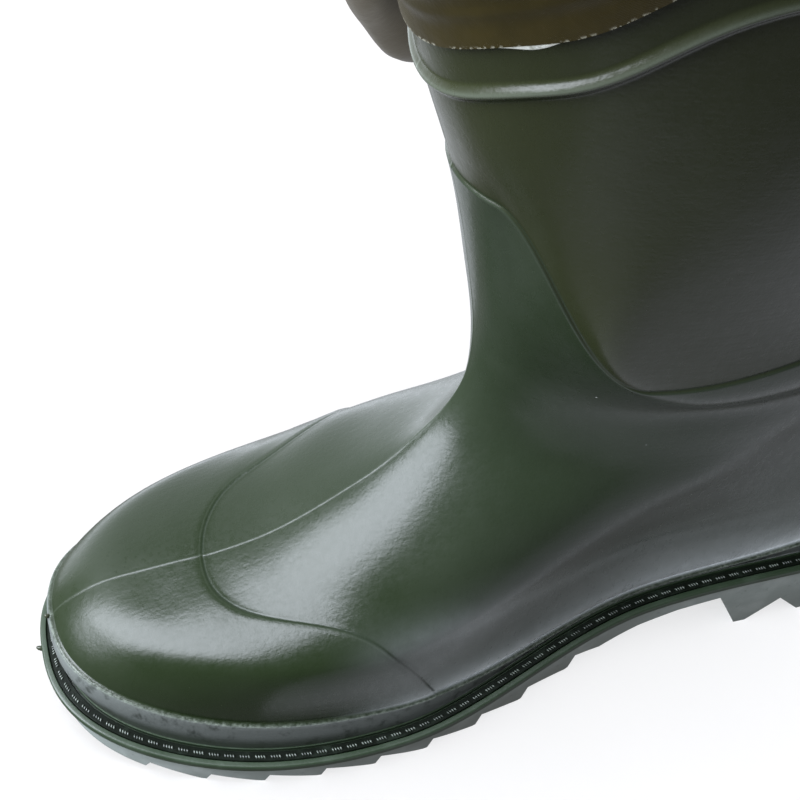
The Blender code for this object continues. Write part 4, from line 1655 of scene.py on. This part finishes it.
@dataclass
class Leg:
    """End of the cloth leg: a band glued on the boot, then slack cloth with a hanging fold."""

    form: UpperForm
    finish: CoatedCloth = CoatedCloth()
    glue: DriedGlue = DriedGlue()
    cloth: float = 1.1
    gap: float = 0.35
    band_rise: float = 12.2
    slack: Sequence[LegRow] = (
        LegRow(3.0, 1.8, 2.0, 0.0), LegRow(9.0, 2.2, 9.0, 10.0), LegRow(16.0, 2.4, 15.0, 48.0),
        LegRow(24.0, 2.6, 20.0, 105.0), LegRow(31.0, 2.8, 24.0, 144.0), LegRow(38.0, 3.0, 28.0, 158.0),
        LegRow(46.0, 3.2, 31.0, 146.0), LegRow(56.0, 3.2, 32.0, 100.0), LegRow(70.0, 3.0, 27.0, 44.0),
        LegRow(86.0, 2.4, 16.0, 8.0), LegRow(98.0, 2.0, 9.0, 0.0))
    fold_angle: float = -77.0
    fold_spread: float = 46.0
    columns: int = 288
    row_count: int = 150
    ridge_height: float = 0.9
    ridge_place: float = -1.0
    ridge_half: float = 2.2
    slack_from: tuple[float, float] = (2.0, 30.0)
    waves: Sequence[Wave] = (Wave(5, 0.050, 0.4, 0.9), Wave(9, -0.075, 1.9, 0.6), Wave(14, 0.11, 3.1, 0.35))
    inside_rise: float = 80.0
    sharp: float = 60.0
    glue_width: float = 0.25
    glue_wobble: float = 0.35
    glue_tuck: float = 0.2
    glue_smears: Sequence[Smear] = (Smear(2.0, 35.0, 6.0), Smear(0.7, 21.0, 7.0))
    glue_section: Sequence[Sequence[float]] = ((0.0, 0.3), (0.1, 0.5), (0.5, 0.42), (0.9, 0.25), (1.0, -0.1))

    def courses(self, angle: Array, out: float) -> Array:
        """Courses up the leg.

        Args:
            angle: angles round the boot.
            out: distance outside the upper's skin.

        Returns:
            Rows of points, from the band's edge to the hem.
        """
        band = self.form.course(angle, self.form.rib_level, self.band_rise, out)
        top = self.form.course(angle, self.form.collar_level, 0.0, out)
        normal = outward(np.roll(top, -1, axis=0) - np.roll(top, 1, axis=0))
        fold = bell(wrap(angle - math.radians(self.fold_angle)), 0.0, math.radians(self.fold_spread))
        courses = [band, (band + top) / 2, top]
        for row in self.slack:
            course = top + normal * (row.out + row.fold_out * fold)[:, None]
            course[:, 2] += row.rise - row.fold_drop * fold
            courses.append(course)
        return np.array(courses)

    def rows(self, angle: Array, out: float) -> tuple[Array, Array]:
        """Smooth rows through the courses.

        Args:
            angle: angles round the boot.
            out: distance outside the upper's skin.

        Returns:
            The points and the run up the cloth at each of them.
        """
        courses = self.courses(angle, out)
        gaps = np.linalg.norm(np.diff(courses, axis=0), axis=2)
        knots = np.concatenate([np.zeros((1, len(angle))), np.cumsum(gaps, axis=0)])
        share = np.linspace(0.0, 1.0, self.row_count)[:, None]
        mean = knots.mean(axis=1)
        place = np.interp(share * mean[-1], mean, np.arange(len(mean)))
        low = np.clip(place.astype(int), 0, len(mean) - 2)[:, 0]
        part = place - low[:, None]
        run = knots[low] * (1 - part) + knots[low + 1] * part
        return spline(knots, courses, run), run

    def wrinkles(self, angle: Array, run: Array) -> Array:
        """Height of the cloth's ridge over the collar and of its small waves.

        Args:
            angle: angles round the boot.
            run: run up the cloth at each point.

        Returns:
            Millimetres along the cloth's normal at each point.
        """
        collar = np.linalg.norm(np.diff(self.courses(angle, 0.0)[[0, 2]], axis=0)[0], axis=1)
        above = run - collar
        height = self.ridge_height * bell(above, self.ridge_place, self.ridge_half)
        slack = ease(above, *self.slack_from)
        for wave in self.waves:
            height += wave.size * slack * np.sin(wave.turns * angle + wave.climb * run + wave.phase)
        return height

    def build(self) -> Object:
        """Build the cloth as a thin double skin and dress it.

        Returns:
            The piece.
        """
        angle = np.arange(self.columns) * 2 * np.pi / self.columns
        outer, run = self.rows(angle, self.gap + self.cloth)
        height = self.wrinkles(angle, run)[..., None]
        normal = grid_normals(outer)
        outer = outer + normal * height
        inner = outer - normal * self.cloth
        points = np.concatenate([outer, inner[::-1]])
        faces = grid_faces(len(points), self.columns, ring=True)
        leg = new_object("leg_cloth", points.reshape(-1, 3), faces)
        keep_field(leg, "band", np.concatenate([run, np.full(run.shape, self.inside_rise)]))
        around = np.arange(self.columns + 1) / self.columns * self.girth(outer)
        up = np.concatenate([run.mean(axis=1), run.mean(axis=1)[::-1], [0.0]])
        lay_flat(leg, around, up)
        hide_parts("leg")
        dress(leg, self.finish.material(), self.sharp)
        area = self.area(outer) * MM * MM
        width = self.girth(outer) * MM
        LOG.info("leg cloth: %.3f m round, %.3f m long when flat", width, area / width)
        return leg

    @staticmethod
    def girth(points: Array) -> float:
        """Mean length of the rows round the boot."""
        return float(np.linalg.norm(np.roll(points, -1, axis=1) - points, axis=2).sum(axis=1).mean())

    @staticmethod
    def area(points: Array) -> float:
        """Area of the rows' skin."""
        across = np.roll(points, -1, axis=1) - points
        return float(np.linalg.norm(np.cross(across[:-1], np.diff(points, axis=0)), axis=2).sum())

    def build_glue(self) -> Object:
        """Build the line of dried glue under the band, with its wider smear on the left side.

        Returns:
            The piece.
        """
        angle = np.arange(self.columns) * 2 * np.pi / self.columns
        turn = np.degrees(wrap(angle))
        wobble = 0.5 + 0.3 * np.sin(23 * angle + 0.7) * np.sin(7 * angle + 2.0) + 0.2 * np.sin(41 * angle)
        width = self.glue_width + self.glue_wobble * np.clip(wobble, 0.0, 1.0)
        for smear in self.glue_smears:
            width = width + smear.width * bell(turn, smear.turn, smear.spread)
        rows = []
        for share, out in self.glue_section:
            low = self.band_rise + self.glue_tuck - share * width
            rows.append(self.on_shaft(angle, low, out))
        faces = grid_faces(len(rows), self.columns, ring=False)
        line = new_object("glue_line", np.array(rows[::-1]).reshape(-1, 3), faces)
        return dress(line, self.glue.material(), self.sharp)

    def on_shaft(self, angle: Array, rise: Array, out: float) -> Array:
        """Course on the shaft at a rise over the rib that changes round it.

        Args:
            angle: angles round the boot.
            rise: rise over the rib at each of them.
            out: distance outside the upper's skin.

        Returns:
            The course's points.
        """
        edges = (0.0, self.band_rise)
        low, high = (self.form.course(angle, self.form.rib_level, edge, out) for edge in edges)
        return low + (high - low) * (rise / self.band_rise)[:, None]


@dataclass
class Flash:
    """Small stubs of moulding flash at the toe's parting line."""

    form: UpperForm
    finish: MouldedUpper = MouldedUpper()
    lip_root: tuple[float, float, float] = (-0.5, 0.0, -1.2)
    lip_reach: tuple[float, float, float] = (2.0, -0.3, 0.5)
    lip_radius: float = 0.85
    rand_beyond: float = -0.5
    rand_out: float = 2.4
    rand_reach: tuple[float, float, float] = (1.1, 0.2, 0.7)
    rand_radius: float = 0.7
    shares: Sequence[float] = (0.0, 0.3, 0.6, 0.85, 1.0)
    taper: Sequence[float] = (1.0, 0.95, 0.85, 0.6, 0.2)
    bow: float = 0.15
    bow_turn: float = 5.0
    sides: int = 10
    far: float = 30.0
    sharp: float = 60.0

    def build(self) -> Object:
        """Build a stub on the lip and one on the rand's top edge.

        Returns:
            The piece.
        """
        front = np.array([0.0])
        lip = self.form.lip.edge(front)[0] + self.lip_root
        rand = self.form.course(front, self.form.rand_level, self.rand_beyond, self.rand_out)[0]
        share = np.array(self.shares)
        points: list[Array] = []
        faces: list[list[int]] = []
        stubs = ((lip, self.lip_reach, self.lip_radius), (rand, self.rand_reach, self.rand_radius))
        for start, reach, radius in stubs:
            path = start + share[:, None] * np.array(reach)
            path[:, 1] += self.bow * np.sin(share * self.bow_turn)
            size = radius * np.array(self.taper)
            new_points, new_faces = closed_tube(path, size, self.sides, len(points))
            points += new_points
            faces += new_faces
        flash = new_object("moulding_flash", np.array(points), faces)
        for name in ("cap", "panel", "rib", "rand"):
            keep_field(flash, name, np.full(len(points), self.far))
        keep_field(flash, "seam", np.zeros(len(points)))
        return dress(flash, self.finish.material(), self.sharp)


class Lights(Enum):
    """What a lamp lights: the one thing in its list of receivers, or all but that."""

    BOOT = ("floor", "EXCLUDE")
    FLOOR = ("floor", "INCLUDE")
    LEG = ("leg_cloth", "INCLUDE")


class Lamp(NamedTuple):
    """Soft box: place and aim in the boot's frame, size in millimetres, radiance and what it lights."""

    name: str
    place: tuple[float, float, float]
    aim: tuple[float, float, float]
    width: float
    height: float
    radiance: float
    lights: Lights


@dataclass
class Studio:
    """Pale floor, soft light, white surroundings and the camera.

    The camera was fitted to the photograph: focal length and image size are pixels, rise, turn
    and roll degrees, and the rest millimetres in the boot's frame.
    """

    floor: StudioFloor = StudioFloor()
    floor_half: float = 4.0
    floor_cells: int = 8
    focal: float = 1300.0
    image: float = 800.0
    sensor: float = 36.0
    rise: float = 49.4
    turn: float = 18.4
    roll: float = -2.23
    aim: tuple[float, float, float] = (170.0, 0.0, 100.0)
    distance: float = 358.4
    shift: tuple[float, float] = (-16.4, 0.4)
    near_clip: float = 0.01
    surroundings: float = 0.36
    sky: tuple[float, float, float, float] = (1.0, 1.0, 1.02, 1.0)
    daylight: Colour = (0.95, 1.0, 1.11)
    white: Colour = (1.0, 1.0, 1.0)
    lamps: Sequence[Lamp] = (
        Lamp("key_box", (850.0, 0.0, 743.0), (190.0, 0.0, 60.0), 700.0, 1100.0, 40.0, Lights.BOOT),
        Lamp("far_wall", (350.0, -1000.0, 300.0), (190.0, 0.0, 100.0), 1700.0, 1500.0, 3.5, Lights.BOOT),
        Lamp("near_card", (95.0, 124.0, 14.0), (95.0, 109.0, 200.0), 300.0, 134.0, 1.05, Lights.BOOT),
        Lamp("far_card", (190.0, -170.0, 14.0), (190.0, -155.0, 200.0), 220.0, 140.0, 0.8, Lights.BOOT),
        Lamp("floor_box", (150.0, 0.0, 1500.0), (150.0, 1.0, 0.0), 3000.0, 3000.0, 1.75, Lights.FLOOR),
        Lamp("leg_card", (185.0, 35.0, 120.0), (174.0, -58.0, 184.0), 100.0, 60.0, 34.0, Lights.LEG),
    )

    def build_floor(self) -> None:
        """Lay the floor under the boot, which doesn't mirror it."""
        mesh = bpy.data.meshes.new("floor")
        build = bmesh.new()
        cells = self.floor_cells
        bmesh.ops.create_grid(build, x_segments=cells, y_segments=cells, size=self.floor_half)
        build.to_mesh(mesh)
        build.free()
        floor = bpy.data.objects.new("floor", mesh)
        bpy.context.scene.collection.objects.link(floor)
        mesh.materials.append(self.floor.material())
        floor.visible_glossy = False

    def build_camera(self) -> None:
        """Place the camera at the photograph's angle."""
        rise, turn, roll = (math.radians(item) for item in (self.rise, self.turn, self.roll))
        flat = math.cos(rise)
        back = np.array([flat * math.sin(turn), flat * math.cos(turn), math.sin(rise)])
        level = np.array([-math.cos(turn), math.sin(turn), 0.0])
        upright = np.cross(back, level)
        right = math.cos(roll) * level - math.sin(roll) * upright
        up = math.cos(roll) * upright + math.sin(roll) * level
        place = np.array(self.aim) + self.distance * back + self.shift[0] * right + self.shift[1] * up
        camera = bpy.data.objects.new("camera", bpy.data.cameras.new("camera"))
        camera.data.sensor_width = self.sensor
        camera.data.lens = self.focal / self.image * self.sensor
        camera.data.clip_start = self.near_clip
        matrix = Matrix(np.stack([right, up, back], -1).tolist()).to_4x4()
        matrix.translation = in_row_frame(place)
        camera.matrix_world = matrix
        bpy.context.scene.collection.objects.link(camera)
        bpy.context.scene.camera = camera

    def build_lamps(self) -> None:
        """Hang the soft boxes; each lights the boot, its leg or the floor alone.

        The floor's box casts no shadow of the boot, and the leg's box isn't mirrored in it.
        """
        for lamp in self.lamps:
            light = bpy.data.lights.new(lamp.name, "AREA")
            light.shape, light.size, light.size_y = "RECTANGLE", lamp.width * MM, lamp.height * MM
            light.color = self.daylight if lamp.lights is Lights.BOOT else self.white
            light.energy = lamp.radiance * math.pi * lamp.width * lamp.height * MM * MM
            item = bpy.data.objects.new(lamp.name, light)
            back = unit(np.array(lamp.place) - lamp.aim)
            side = unit(np.cross((0.0, 0.0, 1.0), back))
            matrix = Matrix(np.stack([side, np.cross(back, side), back], -1).tolist()).to_4x4()
            matrix.translation = in_row_frame(lamp.place)
            item.matrix_world = matrix
            item.visible_camera = False
            item.visible_glossy = lamp.lights is not Lights.LEG
            receivers = bpy.data.collections.new(f"{lamp.name}_receivers")
            listed, state = lamp.lights.value
            receivers.objects.link(bpy.data.objects[listed])
            receivers.collection_objects[0].light_linking.link_state = state
            item.light_linking.receiver_collection = receivers
            if lamp.lights is Lights.FLOOR:
                item.light_linking.blocker_collection = receivers
            bpy.context.scene.collection.objects.link(item)

    def build_surroundings(self) -> None:
        """Set even white surroundings."""
        graph = Graph("surroundings", bpy.data.worlds)
        sockets = {"Color": self.sky, "Strength": self.surroundings}
        graph.add_output("ShaderNodeOutputWorld", graph.add("ShaderNodeBackground", {}, sockets))
        bpy.context.scene.world = graph.owner
        bpy.context.scene.view_settings.view_transform = "Standard"


def main() -> None:
    """Build every piece in order and report it."""
    logging.basicConfig(level=logging.INFO, format="%(name)s: %(message)s")
    studio = Studio()
    studio.build_floor()
    studio.build_camera()
    studio.build_surroundings()
    lip = LipLine()
    form = UpperForm(lip)
    welt, leg = Welt(lip), Leg(form)
    builders = (Upper(form).build, Outsole(lip).build, welt.build, welt.build_stitches, Insole(lip).build,
                leg.build, leg.build_glue, Flash(form).build)
    for build in builders:
        piece = build()
        LOG.info("%s: %d faces", piece.name, len(piece.data.polygons))
    studio.build_lamps()


if __name__ == "__main__":
    main()
